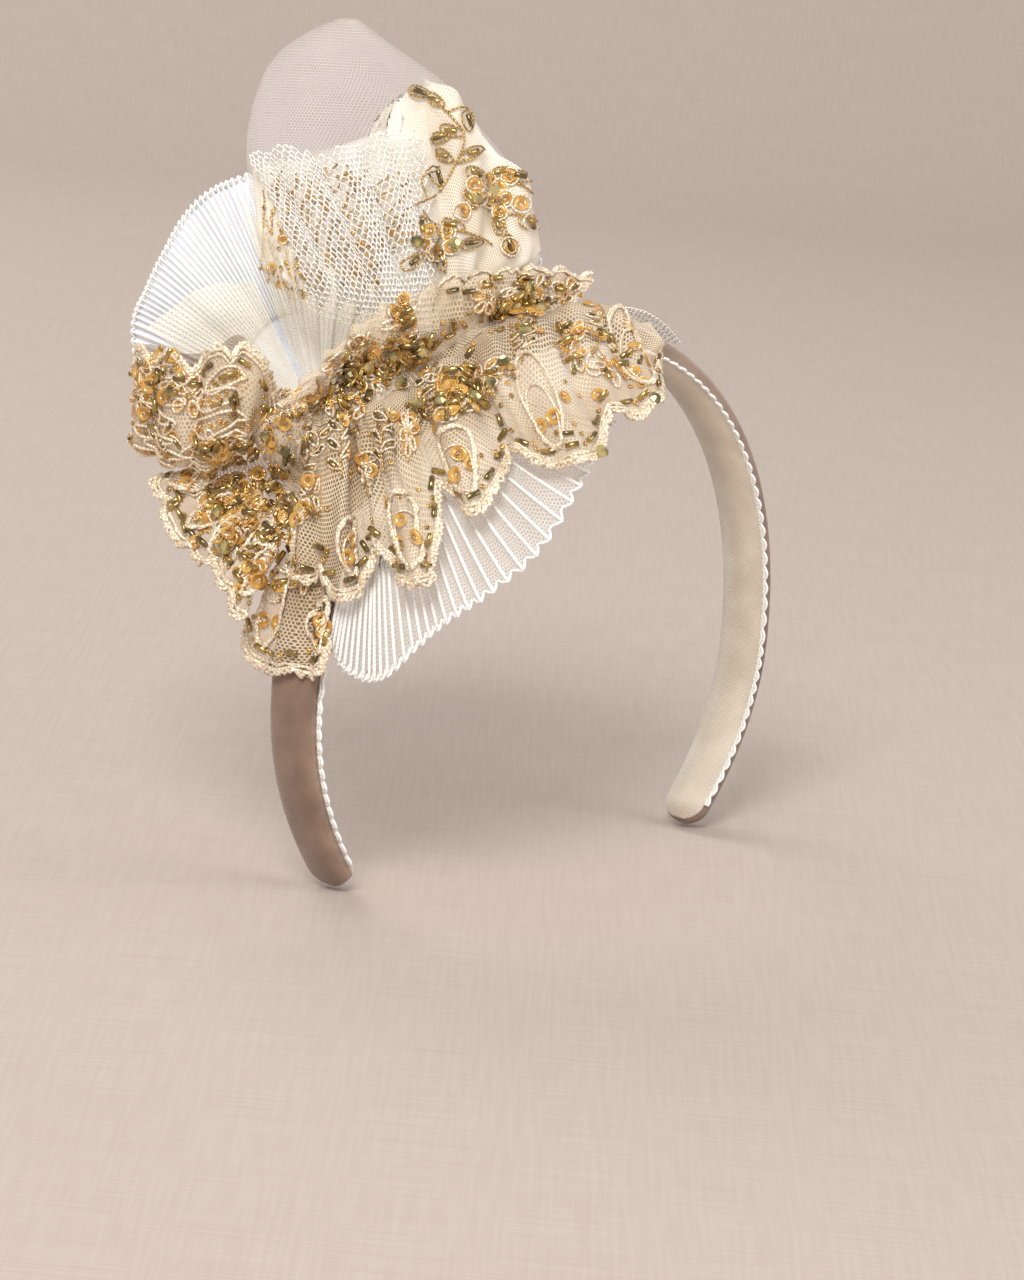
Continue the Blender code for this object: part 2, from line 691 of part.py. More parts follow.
def frill_ribs():
    ribs = []
    for row in FRILL_ROWS:
        crest_side, crest_up = row.crest_side * FRILL_WIDTH, row.crest_up * FRILL_HEIGHT
        hem_side, hem_up = row.hem_side * FRILL_WIDTH, row.hem_up * FRILL_HEIGHT
        crest = place(crest_side, crest_up, -crest_side + row.ahead * FRILL_LIFT)
        hem = on_dome(hem_side, hem_up, row.lift * FRILL_LIFT)
        seat = on_band(row.seat, FRILL_SEAT, GAP + CLOTH / 2) if row.seat else on_knot(crest)
        upper, lower = [place(crest_side * (1 - t) + hem_side * t, crest_up * (1 - t) + hem_up * t, 0.0)
                        for t in (BELLY_AT, SWEEP_AT)]
        upper_out = dome_out(upper.dot(SIDE), upper.dot(UP), row.belly * FRILL_LIFT)
        sweep = (row.belly + row.lift) / 2 * FRILL_LIFT
        lower_out = dome_out(lower.dot(SIDE), lower.dot(UP), sweep)
        upper += OUT * max(upper_out, (upper_out + crest.dot(OUT)) / 2)
        ribs.append([seat, crest, upper, lower + OUT * lower_out, hem])
    return ribs


CrestRow = namedtuple("CrestRow", "seat mid_side mid_up top_side top_up stand")
CREST_ROWS = [      # seat: share of the band, or 0 on the knot; sides and ups: shares of the crest's width and
                    # height; stand: share of how far it stands in front of the band's middle
    CrestRow(0.000, -0.790, -0.300, -0.880, -0.380, 0.3),
    CrestRow(0.000, -0.740, -0.120, -0.800, -0.180, 0.3),
    CrestRow(0.000, -0.670, 0.060, -0.700, 0.060, 0.3),
    CrestRow(0.000, -0.570, 0.160, -0.580, 0.280, 0.35),
    CrestRow(-0.260, -0.440, 0.160, -0.460, 0.370, 0.40),
    CrestRow(-0.190, -0.330, 0.220, -0.350, 0.430, 0.35),
    CrestRow(-0.120, -0.200, 0.260, -0.210, 0.450, 0.0),
    CrestRow(-0.050, -0.080, 0.260, -0.070, 0.430, -0.25),
    CrestRow(0.010, 0.030, 0.230, 0.080, 0.360, -0.3),
]
CREST_SEAT = 0.15


def crest_ribs():
    ribs = []
    for row in CREST_ROWS:
        mid_side, top_side = row.mid_side * CREST_WIDTH, row.top_side * CREST_WIDTH
        forward = row.stand * CREST_STAND
        mid = place(mid_side, row.mid_up * CREST_HEIGHT, -mid_side + forward)
        top = place(top_side, row.top_up * CREST_HEIGHT, -top_side + forward)
        seat = on_band(row.seat, CREST_SEAT, GAP + CLOTH / 2) if row.seat else on_knot(mid)
        ribs.append([seat, seat.lerp(mid, 0.6), mid, top, top - OUT * CREST_ROLL])
    return ribs


RollRow = namedtuple("RollRow", "side up out radius")
ROLL_ROWS = [       # the roll's axis from the knot, as shares of its length, and its radius as a share
    RollRow(-0.36, 0.04, 0.12, 0.45),
    RollRow(-0.50, 0.06, 0.12, 0.85),
    RollRow(-0.66, 0.02, 0.06, 1.00),
    RollRow(-0.82, 0.00, -0.04, 1.00),
    RollRow(-0.98, 0.02, -0.20, 0.95),
    RollRow(-1.06, 0.04, -0.32, 0.72),
]
ROLL_FROM = math.radians(62)
ROLL_TO = math.radians(392)
ROLL_TURNS = 8
ROLL_LOBE = 0.16                # how far the roll's free edge opens, share of its radius


def roll_ribs():
    ribs = []
    for row in ROLL_ROWS:
        centre = GATHER + place(row.side * ROLL_LENGTH, row.up * ROLL_LENGTH, row.out * ROLL_LENGTH)
        rib = []
        for j in range(ROLL_TURNS + 1):
            share = j / ROLL_TURNS
            turn = ROLL_FROM + (ROLL_TO - ROLL_FROM) * share
            radius = row.radius * ROLL_RADIUS * (1 - ROLL_LOBE * share)
            point = centre + place(0.0, radius * math.sin(turn), ROLL_FLAT * radius * math.cos(turn))
            rib.append(on_knot(point) if row is ROLL_ROWS[0] else point)
        ribs.append(rib)
    return ribs


DrapeRow = namedtuple("DrapeRow", "side up out fold")
DRAPE_ROWS = [      # the drape's hem from the knot and how far its middle stands out, as shares of its reach
    DrapeRow(-0.88, -0.36, -0.14, 0.02),
    DrapeRow(-0.86, -0.46, -0.08, 0.10),
    DrapeRow(-0.74, -0.64, 0.09, 0.02),
    DrapeRow(-0.63, -0.71, 0.19, 0.12),
    DrapeRow(-0.53, -0.73, 0.28, 0.02),
    DrapeRow(-0.45, -0.85, 0.38, 0.12),
    DrapeRow(-0.38, -0.95, 0.48, 0.03),
]


def drape_ribs():
    ribs = []
    for row in DRAPE_ROWS:
        hem = GATHER + place(row.side * DRAPE_REACH, row.up * DRAPE_REACH, row.out * DRAPE_REACH)
        start = on_knot(hem - UP * 0.1 * DRAPE_REACH)
        low = start.lerp(hem, 0.35) + OUT * row.fold * DRAPE_REACH
        high = start.lerp(hem, 0.72) + OUT * row.fold * DRAPE_REACH * 0.7
        ribs.append([start, low, high, hem])
    return ribs


TailRow = namedtuple("TailRow", "side up stand")
TAIL_ROWS = [       # the tail's hem: shares of its width, its length and its stand over the band
    TailRow(-0.50, -0.88, 0.7),
    TailRow(-0.40, -0.97, 1.1),
    TailRow(-0.08, -1.00, 0.9),
    TailRow(0.28, -0.98, 1.1),
    TailRow(0.42, -0.93, 1.0),
    TailRow(0.46, -0.82, 1.0),
]
TAIL_SIDE = -0.0620
TAIL_STEPS = (0.0, 0.3, 0.55, 0.8, 1.0)


def tail_ribs():
    ribs = []
    for row in TAIL_ROWS:
        hem_side = TAIL_SIDE + row.side * TAIL_WIDTH
        hem_up = KNOT_UP + row.up * TAIL_LENGTH
        lift = BAND_TOP + TAIL_STAND * row.stand
        hem = on_dome(hem_side, hem_up, lift)
        top = on_knot(hem + OUT * 0.02 + SIDE * 0.012)
        rib = []
        for t in TAIL_STEPS:
            side, up, out = [top.dot(axis) * (1 - t) + hem.dot(axis) * t for axis in (SIDE, UP, OUT)]
            over = dome_out(side, up, lift)
            rib.append(place(side, up, max(out, over) if 0 < t < 1 else out))
        ribs.append(rib)
    return ribs


UnderRow = namedtuple("UnderRow", "turn lean reach")
UNDER_ROWS = [                  # as the rear fan's rim
    UnderRow(163, 22, 0.70),
    UnderRow(152, 26, 0.68),
    UnderRow(140, 28, 0.67),
    UnderRow(128, 29, 0.66),
]


def underlay_ribs():
    ribs = []
    for row in UNDER_ROWS:
        end = GATHER + fan_arm(row.turn, row.lean, row.reach * REAR_FAN_RADIUS)
        start = on_knot(end)
        ribs.append([start, start.lerp(end, 0.5), end])
    return ribs


NetRow = namedtuple("NetRow", "seat front rise")
NET_ROWS = [                    # share of the band, front edge across it, rise as a share of the strip's width
    NetRow(0.085, 0.00, 0.28),
    NetRow(0.115, -0.10, 0.36),
    NetRow(0.150, -0.15, 0.38),
    NetRow(0.185, -0.25, 0.30),
    NetRow(0.220, -0.30, 0.18),
]
NET_SEAT = 0.50                 # where the strip is sewn across the band
NET_SINK = 0.0004               # how far the crowned band falls away there


def net_ribs():
    ribs = []
    for row in NET_ROWS:
        rise = row.rise * NET_EDGE_WIDTH
        ribs.append([on_band(row.seat, NET_SEAT, GAP + CLOTH / 2 - NET_SINK),
                     on_band(row.seat, NET_SEAT - 0.15, rise * 0.6),
                     on_band(row.seat, row.front + 0.20, rise * 0.95),
                     on_band(row.seat, row.front, rise)])
    return ribs


def build_lace(parts, mats, band, knot, front_fan):
    fan = tree_of(front_fan)
    tail = sheet("lace_tail", tail_ribs(), 10, 6, parts, mats["lace"], [band, fan], 0.0020, knot)
    drape = sheet("lace_drape", drape_ribs(), 14, 5, parts, mats["lace"], [tree_of(tail)], 0.0020, knot)
    below = [band, knot, fan, tree_of(tail), tree_of(drape)]
    frill = sheet("lace_frill", frill_ribs(), 38, 9, parts, mats["lace"], below, 0.0022)
    crest = sheet("lace_crest", crest_ribs(), 18, 5, parts, mats["lace"], [band], 0.0010)
    roll = sheet("lace_roll", roll_ribs(), 10, 14, parts, mats["lace"])
    sheet("fan_underlay", underlay_ribs(), 6, 5, parts, mats["ivory"], seat=knot)
    sheet("net_edge", net_ribs(), 8, 5, parts, mats["white"])
    return [tail, drape, frill, crest, roll]


# The crystals

CrystalPlace = namedtuple("CrystalPlace", "side up")
CRYSTALS = [                    # shares of the ornament's span, where each shows along the out direction
    CrystalPlace(-0.390, 0.250),
    CrystalPlace(-0.300, 0.246),
    CrystalPlace(-0.211, 0.370),
    CrystalPlace(-0.250, 0.350),
    CrystalPlace(-0.107, 0.145),
    CrystalPlace(-0.058, 0.087),
    CrystalPlace(-0.095, 0.050),
    CrystalPlace(-0.137, 0.080),
    CrystalPlace(0.233, -0.071),
    CrystalPlace(0.107, -0.177),
    CrystalPlace(-0.160, -0.055),
    CrystalPlace(-0.137, -0.010),
    CrystalPlace(-0.346, -0.119),
    CrystalPlace(-0.290, -0.105),
    CrystalPlace(-0.205, -0.090),
    CrystalPlace(-0.540, -0.040),
    CrystalPlace(-0.489, -0.020),
    CrystalPlace(-0.430, 0.005),
    CrystalPlace(-0.470, -0.065),
    CrystalPlace(-0.396, -0.067),
    CrystalPlace(-0.357, 0.008),
    CrystalPlace(-0.695, -0.222),
    CrystalPlace(-0.645, -0.245),
    CrystalPlace(-0.834, -0.268),
    CrystalPlace(-0.800, -0.330),
    CrystalPlace(-0.599, -0.370),
    CrystalPlace(-0.815, -0.440),
    CrystalPlace(-0.790, -0.507),
]


def crystal_mesh(name):
    """A cut stone: a flat table, eight crown facets, a girdle and eight facets down to a small flat back."""
    levels = [(CRYSTAL_TABLE / 2, CRYSTAL_HEIGHT * 0.38), (CRYSTAL_WIDTH / 2, CRYSTAL_HEIGHT * 0.06),
              (CRYSTAL_WIDTH / 2, -CRYSTAL_HEIGHT * 0.06), (CRYSTAL_TABLE / 3, -CRYSTAL_HEIGHT * 0.5)]
    rows = []
    for radius, height in levels:
        turns = [2 * math.pi * k / CRYSTAL_SIDES for k in range(CRYSTAL_SIDES)]
        rows.append([Vector((radius * math.cos(turn), radius * math.sin(turn), height)) for turn in turns])
    mesh = grid_mesh(name, rows, wrap=True)
    bm = bmesh.new()
    bm.from_mesh(mesh)
    bmesh.ops.holes_fill(bm, edges=[edge for edge in bm.edges if edge.is_boundary])
    bmesh.ops.recalc_face_normals(bm, faces=bm.faces)
    bm.to_mesh(mesh)
    bm.free()
    return mesh


def clear_of(centre, trees, clear):
    """Whether a stone's middle is outside every piece and far enough from it."""
    for tree in trees:
        near, normal, _, distance = tree.find_nearest(centre)
        if distance < clear or (distance < 2 * CRYSTAL_WIDTH and (centre - near).dot(normal) < 0):
            return False
    return True


def build_crystals(parts, mats, cloths):
    """Each stone is set where a line along the out direction meets the cloth, then moved clear of what is near."""
    trees = [tree_of(obj) for obj in cloths]
    clear = CRYSTAL_WIDTH / 2 + GAP
    for number, row in enumerate(CRYSTALS, 1):
        start = place(row.side * ORNAMENT_SPAN, row.up * ORNAMENT_SPAN, ORNAMENT_SPAN)
        hits = [tree.ray_cast(start, -OUT)[:2] for tree in trees]
        hits = [hit for hit in hits if hit[0]]
        if hits:
            point, facing = max(hits, key=lambda hit: hit[0].dot(OUT))
        else:
            start = place(start.dot(SIDE), start.dot(UP), -start.dot(SIDE))
            point, facing = min((tree.find_nearest(start) for tree in trees), key=lambda hit: hit[3])[:2]
        facing = facing if facing.dot(OUT) > 0 else -facing
        centre = point + facing * clear
        for _ in range(4):
            for tree in trees:
                near, _, _, distance = tree.find_nearest(centre)
                if distance < clear:
                    centre += (centre - near).normalized() * (clear - distance)
        for _ in range(160):
            if clear_of(centre, trees, clear - CRYSTAL_SLACK):
                break
            centre += OUT * CRYSTAL_WIDTH / 16
        for share in (1.0, 1.0, 0.5, 0.5, 0.25, 0.25, 0.25):
            near, _, _, distance = min((tree.find_nearest(centre) for tree in trees), key=lambda hit: hit[3])
            back = centre.lerp(near, max(1 - clear / distance, 0.0) * share)
            if clear_of(back, trees, clear - CRYSTAL_SLACK):
                centre = back
        name = f"crystal_{number:02d}"
        stone = add_object(name, crystal_mesh(name), parts, mats["crystal"])
        stone.data.transform(Matrix.Translation(centre) @ facing.to_track_quat("Z", "Y").to_matrix().to_4x4())


def main():
    for obj in list(bpy.data.objects):
        bpy.data.objects.remove(obj, do_unlink=True)
    parts = bpy.data.collections.new("tulle_headband")
    cutters = bpy.data.collections.new("cutters")
    bpy.context.scene.collection.children.link(parts)
    bpy.context.scene.collection.children.link(cutters)
    mats = {
        "cover": material("cover", (0.376, 0.262, 0.216), 0.75),
        "lining": material("lining", (0.85, 0.80, 0.72), 0.7),
        "white": material("white_tulle", (0.90, 0.90, 0.90), 0.8),
        "ivory": material("ivory_tulle", (0.85, 0.79, 0.68), 0.8),
        "lace": material("beaded_lace", (0.72, 0.58, 0.40), 0.55),
        "crystal": material("crystal", (0.30, 0.26, 0.10), 0.08),
    }
    band, guides = build_band(parts, cutters, mats)
    knot = build_knot(parts, mats, guides[0])
    band_tree, knot_tree = tree_of(band), tree_of(knot)
    build_rear_fan(parts, mats, knot_tree)
    front_fan = build_front_fan(parts, mats, tree_of(guides[1]))
    puff = build_puff(parts, mats, [band_tree, knot_tree])
    veil = puff_layer("veil", VEIL_ROWS, parts, mats["white"], [band_tree, knot_tree])
    sprig_panel = puff_layer("sprig_panel", SPRIG_ROWS, parts, mats["ivory"], [band_tree, knot_tree])
    lace = build_lace(parts, mats, band_tree, knot_tree, front_fan)
    build_crystals(parts, mats, [band, parts.objects["band_lining"], knot, front_fan, puff, veil, sprig_panel] + lace)
    for guide in guides:
        guide.hide_render = True
        guide.display_type = "WIRE"


main()
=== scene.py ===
"""Dresses the tulle headband: covered band, pleated fans, standing puff and beaded lace, in a studio."""
import logging
import math
import random
from dataclasses import dataclass, field
from enum import Enum
from functools import cache
from typing import Any, Callable, Sequence

import bmesh
import bpy
from mathutils import Matrix, Vector
from mathutils.bvhtree import BVHTree


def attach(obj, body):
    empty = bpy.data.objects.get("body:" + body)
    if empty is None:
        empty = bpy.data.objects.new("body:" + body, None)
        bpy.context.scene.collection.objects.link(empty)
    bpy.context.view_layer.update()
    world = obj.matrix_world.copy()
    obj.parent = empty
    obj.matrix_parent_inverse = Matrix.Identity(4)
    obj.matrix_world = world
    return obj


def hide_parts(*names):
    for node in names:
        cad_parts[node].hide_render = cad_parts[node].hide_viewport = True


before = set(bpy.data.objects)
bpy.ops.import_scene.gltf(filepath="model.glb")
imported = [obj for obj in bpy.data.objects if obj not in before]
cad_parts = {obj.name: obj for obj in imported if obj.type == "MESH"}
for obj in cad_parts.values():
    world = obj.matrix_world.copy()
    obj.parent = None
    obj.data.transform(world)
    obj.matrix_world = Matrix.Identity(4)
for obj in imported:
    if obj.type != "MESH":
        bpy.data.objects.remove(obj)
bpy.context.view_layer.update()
LOG = logging.getLogger("headband")

SIDE = Vector((math.sqrt(0.5), -math.sqrt(0.5), 0.0))
OUT = Vector((-math.sqrt(0.5), -math.sqrt(0.5), 0.0))
UP = Vector((0.0, 0.0, 1.0))
GATHER = SIDE * -0.0540 + UP * -0.0190 + OUT * 0.0380
KNOT = SIDE * -0.0575 + UP * -0.0225 + OUT * 0.0400
DOME = Vector((0.0, 0.0104, -0.0879))
KNOT_HALVES = (0.0175, 0.0115, 0.0160)
DOME_HALVES = (0.079, 0.100, 0.087)
DOME_LEAN = math.radians(7.0)
BAND_TOP = 0.0060
BAND_HALF_SPAN = 0.081
BAND_DROP = 0.086
BAND_WIDTH_TOP = 0.017
BAND_WIDTH_END = 0.0135
ARCH_SHARE = 0.70
ARCH_POWER = 2 / 2.15
ARM_DROP = 0.048
ARM_CLOSE = 0.019

Uv = tuple[float, float]
Colour = tuple[float, float, float]
Hem = Callable[[float], float]
Socket = bpy.types.NodeSocket


def place(side: float, up: float, out: float) -> Vector:
    """A point from its side, up and out places, in metres."""
    return SIDE * side + UP * up + OUT * out


def smooth(values: Sequence, share: float) -> Any:
    """Catmull-Rom through evenly spaced values.

    Args:
        values: Numbers or vectors, evenly spaced.
        share: Where between the first, 0, and the last, 1.

    Returns:
        The value there.
    """
    spans = len(values) - 1
    at = min(max(share, 0.0), 1.0) * spans
    i = min(int(at), spans - 1)
    t = at - i
    p1, p2 = values[i], values[i + 1]
    p0 = values[i - 1] if i > 0 else p1 * 2 - p2
    p3 = values[i + 2] if i + 2 <= spans else p2 * 2 - p1
    return (p1 * 2 + (p2 - p0) * t + (p0 * 2 - p1 * 5 + p2 * 4 - p3) * t ** 2
            + (p1 * 3 - p0 - p2 * 3 + p3) * t ** 3) * 0.5


def band_curve(share: float) -> tuple[Vector, Vector]:
    """Place and outward direction on the band's inner curve, from -1 at the wearer's right end to 1.

    Args:
        share: Where along the band, from -1 at its right end to 1 at its left.

    Returns:
        The place and the outward direction.
    """
    run = abs(share)
    if run < ARCH_SHARE:
        turn = run / ARCH_SHARE * math.pi / 2
        x = BAND_HALF_SPAN * math.sin(turn) ** ARCH_POWER
        z = BAND_DROP * (math.cos(turn) ** ARCH_POWER - 1)
        out_x = math.sin(turn) ** (2 - ARCH_POWER) / BAND_HALF_SPAN
        out_z = math.cos(turn) ** (2 - ARCH_POWER) / BAND_DROP
    else:
        along = (run - ARCH_SHARE) / (1 - ARCH_SHARE)
        x, z = BAND_HALF_SPAN - ARM_CLOSE * along ** 2, -BAND_DROP - ARM_DROP * along
        out_x, out_z = ARM_DROP, -2 * ARM_CLOSE * along
    outward = Vector((math.copysign(out_x, share), 0.0, out_z)).normalized()
    return Vector((math.copysign(x, share), 0.0, z)), outward


def band_width(share: float) -> float:
    """The band's width at a share of its half length."""
    return BAND_WIDTH_TOP + (BAND_WIDTH_END - BAND_WIDTH_TOP) * abs(share)


def on_band(share: float, across: float, lift: float) -> Vector:
    """A point over the band's outer face, across from -1 at its front edge to 1 at its rear edge."""
    point, outward = band_curve(share)
    return point + outward * (BAND_TOP + lift) + Vector((0.0, across * band_width(share) / 2, 0.0))


def dome_out(side: float, up: float, lift: float) -> float:
    """How far out the worn dome, grown by lift, is met at a side and up place.

    Args:
        side: The side place.
        up: The up place.
        lift: How far the dome is grown.

    Returns:
        The out place.
    """
    turn = Matrix.Rotation(DOME_LEAN, 3, "X")
    grown = [half + lift for half in DOME_HALVES]
    start, ray = turn @ (place(side, up, 0.0) - DOME), turn @ OUT
    start = Vector(start[i] / grown[i] for i in range(3))
    ray = Vector(ray[i] / grown[i] for i in range(3))
    middle = start.dot(ray)
    under = max(middle ** 2 - ray.dot(ray) * (start.dot(start) - 1), 0.0)
    return (-middle + math.sqrt(under)) / ray.dot(ray)


def on_dome(side: float, up: float, lift: float) -> Vector:
    """A point over the worn dome."""
    return place(side, up, dome_out(side, up, lift))


def on_knot(towards: Vector, lift: float = 0.0003) -> Vector:
    """The place over the knot's face in the direction of a point.

    Args:
        towards: The point.
        lift: How far off the face.

    Returns:
        The place.
    """
    ray = (towards - KNOT).normalized()
    shares = [ray.dot(axis) / half for axis, half in zip((SIDE, UP, OUT), KNOT_HALVES)]
    return KNOT + ray * (1.04 / math.sqrt(sum(share ** 2 for share in shares)) + lift)


def turned(x: float, y: float, turn: float) -> Uv:
    """A flat step turned by an angle in radians."""
    return x * math.cos(turn) - y * math.sin(turn), x * math.sin(turn) + y * math.cos(turn)


def any_turn(wild: random.Random) -> float:
    """A random direction, in radians."""
    return wild.uniform(0, math.tau)


@cache
def tree_of(name: str) -> BVHTree:
    """The search tree of a CAD node, made before the node is replaced."""
    return BVHTree.FromObject(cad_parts[name], bpy.context.evaluated_depsgraph_get())


# Finishes

class Nodes:
    """Short calls for a material's node tree."""

    def __init__(self, name: str) -> None:
        """Starts a material.

        Args:
            name: Its name.
        """
        self.material = bpy.data.materials.new(name)
        self.material.use_nodes = True
        self.tree = self.material.node_tree
        self.shader = self.tree.nodes["Principled BSDF"]
        self.output = self.tree.nodes["Material Output"]

    def add(self, kind: str, **settings: Any) -> bpy.types.Node:
        """Adds a node; settings are its properties, and numbered ones, i0 and on, its inputs.

        Args:
            kind: The node's type.
            settings: Its properties and inputs.

        Returns:
            The node.
        """
        node = self.tree.nodes.new(kind)
        for key, value in settings.items():
            if key[0] == "i" and key[1:].isdigit():
                self.feed(node.inputs[int(key[1:])], value)
            else:
                setattr(node, key, value)
        return node

    def feed(self, socket: Socket, value: Any) -> None:
        """Links a socket to an output, or gives it a plain value.

        Args:
            socket: The socket.
            value: The output or the value.
        """
        if isinstance(value, Socket):
            self.tree.links.new(value, socket)
        else:
            socket.default_value = value

    def maths(self, operation: str, a: Any, b: Any = 0.5, c: Any = 0.5) -> Socket:
        """The output of a Math node."""
        return self.add("ShaderNodeMath", operation=operation, i0=a, i1=b, i2=c).outputs[0]

    def vector(self, operation: str, a: Any, b: Any = (0.0, 0.0, 0.0)) -> Socket:
        """The vector of a Vector Math node, or its value where it gives one."""
        node = self.add("ShaderNodeVectorMath", operation=operation, i0=a, i1=b)
        return node.outputs[1 if operation == "DOT_PRODUCT" else 0]

    def ramp(self, value: Any, low: float, high: float) -> Socket:
        """A value brought from between low and high to between 0 and 1, smoothly."""
        node = self.add("ShaderNodeMapRange", interpolation_type="SMOOTHSTEP", i0=value, i1=low, i2=high)
        return node.outputs[0]

    def mix(self, factor: Any, a: Any, b: Any) -> Socket:
        """A mix of two colours."""
        return self.add("ShaderNodeMix", data_type="RGBA", i0=factor, i6=a, i7=b).outputs[2]

    def tones(self, level: Any, low: float, high: float, look: Any) -> Socket:
        """A finish's shade where a level is low, passing to its colour where it is high."""
        return self.mix(self.ramp(level, low, high), (*look.shade, 1.0), (*look.colour, 1.0))

    def cloth_map(self) -> Socket:
        """The place on the cloth, in metres."""
        return self.add("ShaderNodeUVMap", uv_map="cloth").outputs[0]

    def split(self, value: Any) -> bpy.types.NodeOutputs:
        """The parts of a vector."""
        return self.add("ShaderNodeSeparateXYZ", i0=value).outputs

    def noise(self, where: Any, scale: float, detail: float) -> Socket:
        """A noise texture's value."""
        node = self.add("ShaderNodeTexNoise", i0=where, i2=scale, i3=detail)
        return node.outputs[0]

    def bump(self, height: Any, strength: float, depth: float) -> None:
        """Gives the shader a bump from a height.

        Args:
            height: The height.
            strength: How strongly it shows.
            depth: How deep it is, in metres.
        """
        node = self.add("ShaderNodeBump")
        node.inputs["Strength"].default_value = strength
        node.inputs["Distance"].default_value = depth
        self.feed(node.inputs["Height"], height)
        self.feed(self.shader.inputs["Normal"], node.outputs[0])

    def set(self, **values: Any) -> None:
        """Sets the shader's sockets by their names, with underscores for spaces."""
        for key, value in values.items():
            self.feed(self.shader.inputs[key.replace("_", " ")], value)

    def hexagons(self, where: Any, pitch: float) -> Socket:
        """How near each place is to a side of a hexagonal net: 0 at a cell's middle, 1 on its threads.

        Args:
            where: The place on the cloth, in metres.
            pitch: The size of a cell.

        Returns:
            The nearness.
        """
        step, half = (1.0, math.sqrt(3.0), 1.0), (0.5, math.sqrt(0.75), 0.5)
        flatten, slope = (1.0, 1.0, 0.0), (0.5, math.sqrt(0.75), 0.0)
        flat = self.vector("MULTIPLY", where, (1 / pitch, 1 / pitch, 0.0))
        far = self.vector("ADD", flat, (500.0, 500.0 * math.sqrt(3.0), 0.0))
        sides = []
        for start in (far, self.vector("ADD", far, half)):
            cell = self.vector("SUBTRACT", self.vector("MODULO", start, step), half)
            size = self.vector("ABSOLUTE", self.vector("MULTIPLY", cell, flatten))
            slanted = self.vector("DOT_PRODUCT", size, slope)
            sides.append(self.maths("MAXIMUM", self.split(size)[0], slanted))
        return self.maths("MULTIPLY", self.maths("MINIMUM", *sides), 2.0)


@dataclass(frozen=True)
class Finish:
    """A finish that passes from a shade to a colour."""

    name: str
    colour: Colour
    shade: Colour

    def build(self) -> bpy.types.Material:
        """Makes the material.

        Returns:
            The material.
        """
        nodes = Nodes(self.name)
        self.wire(nodes)
        return nodes.material

    def wire(self, n: Nodes) -> None:
        """Wires the finish's own nodes."""
        raise NotImplementedError


@dataclass(frozen=True)
class NetFinish(Finish):
    """Net or tulle: threads round hexagonal holes, seen through between them."""

    pitch: float
    thread: float = 0.30
    fill: float = 0.15
    cover: float = 1.0
    bump: float = 0.3
    fade: float = 0.0
    top: float = 0.0

    def wire(self, n: Nodes) -> None:
        """Wires the finish's own nodes."""
        uv = n.cloth_map()
        near = n.hexagons(uv, self.pitch)
        threads = n.ramp(near, 1.0 - self.thread - 0.12, 1.0 - self.thread + 0.08)
        cloud = n.noise(uv, 60.0, 4.0)
        tone = n.tones(cloud, 0.3, 0.7, self)
        n.set(Base_Color=tone, Roughness=0.75, Sheen_Weight=0.35, Sheen_Roughness=0.5)
        n.bump(threads, self.bump, 0.0002)
        seen = n.maths("MULTIPLY_ADD", threads, self.cover - self.fill, self.fill)
        if self.fade:
            edge = n.ramp(n.maths("MULTIPLY_ADD", cloud, 0.008, n.split(uv)[0]), 0.0, self.fade)
            seen = n.maths("MULTIPLY", seen, edge)
        if self.top:
            height = n.maths("MULTIPLY_ADD", cloud, -0.010, n.split(uv)[1])
            seen = n.maths("MULTIPLY", seen, n.ramp(height, self.top, self.top - 0.012))
        n.feed(n.shader.inputs["Alpha"], seen)


@dataclass(frozen=True)
class ClothFinish(Finish):
    """Close cloth: a twill or plain weave on the piece's UV map, with painted shade in its grooves over a
    tone that differs at random.
    """

    pitch: float
    twill: bool = True
    rough: float = 0.6

    def wire(self, n: Nodes) -> None:
        """Wires the finish's own nodes."""
        uv = n.cloth_map()
        parts = n.split(uv)
        slant = n.maths("MULTIPLY", parts[1], 1.0 if self.twill else 0.0)
        across = n.maths("ADD", parts[0], slant)
        rows = n.maths("SINE", n.maths("MULTIPLY", across, math.tau / self.pitch))
        threads = n.maths("SINE", n.maths("MULTIPLY", parts[1], 4 * math.pi / self.pitch))
        weave = n.maths("MULTIPLY_ADD", threads, 0.35, rows)
        cloud = n.noise(uv, 90.0, 5.0)
        # Painted shade: where the weave's bump is low, in its grooves, the colour goes to the shade; the
        # noise adds random tone.
        level = n.maths("MULTIPLY_ADD", weave, 0.18, cloud)
        tone = n.tones(level, 0.25, 0.85, self)
        n.set(Base_Color=tone, Roughness=self.rough, Sheen_Weight=0.4, Sheen_Roughness=0.4)
        n.bump(weave, 0.35, 0.00012)


@dataclass(frozen=True)
class ThreadFinish(Finish):
    """Embroidery cord, seen as wound thread along the piece's UV map, with painted shade between the windings
    over a tone that differs at random.
    """

    metal: float = 0.35
    rough: float = 0.45

    def wire(self, n: Nodes) -> None:
        """Wires the finish's own nodes."""
        uv = n.cloth_map()
        parts = n.split(uv)
        run = n.maths("MULTIPLY_ADD", parts[1], 1.0, n.maths("MULTIPLY", parts[0], 900.0))
        wound = n.maths("SINE", n.maths("MULTIPLY", run, math.tau))
        where = n.add("ShaderNodeTexCoord").outputs["Object"]
        cloud = n.noise(where, 700.0, 2.0)
        # Painted shade: where the winding's bump is low, between the turns, the colour goes to the shade; the
        # noise adds random tone.
        level = n.maths("MULTIPLY_ADD", wound, 0.22, cloud)
        tone = n.tones(level, 0.2, 0.8, self)
        n.set(Base_Color=tone, Roughness=self.rough, Metallic=self.metal, Sheen_Weight=0.2)
        n.bump(wound, 0.35, 0.00012)


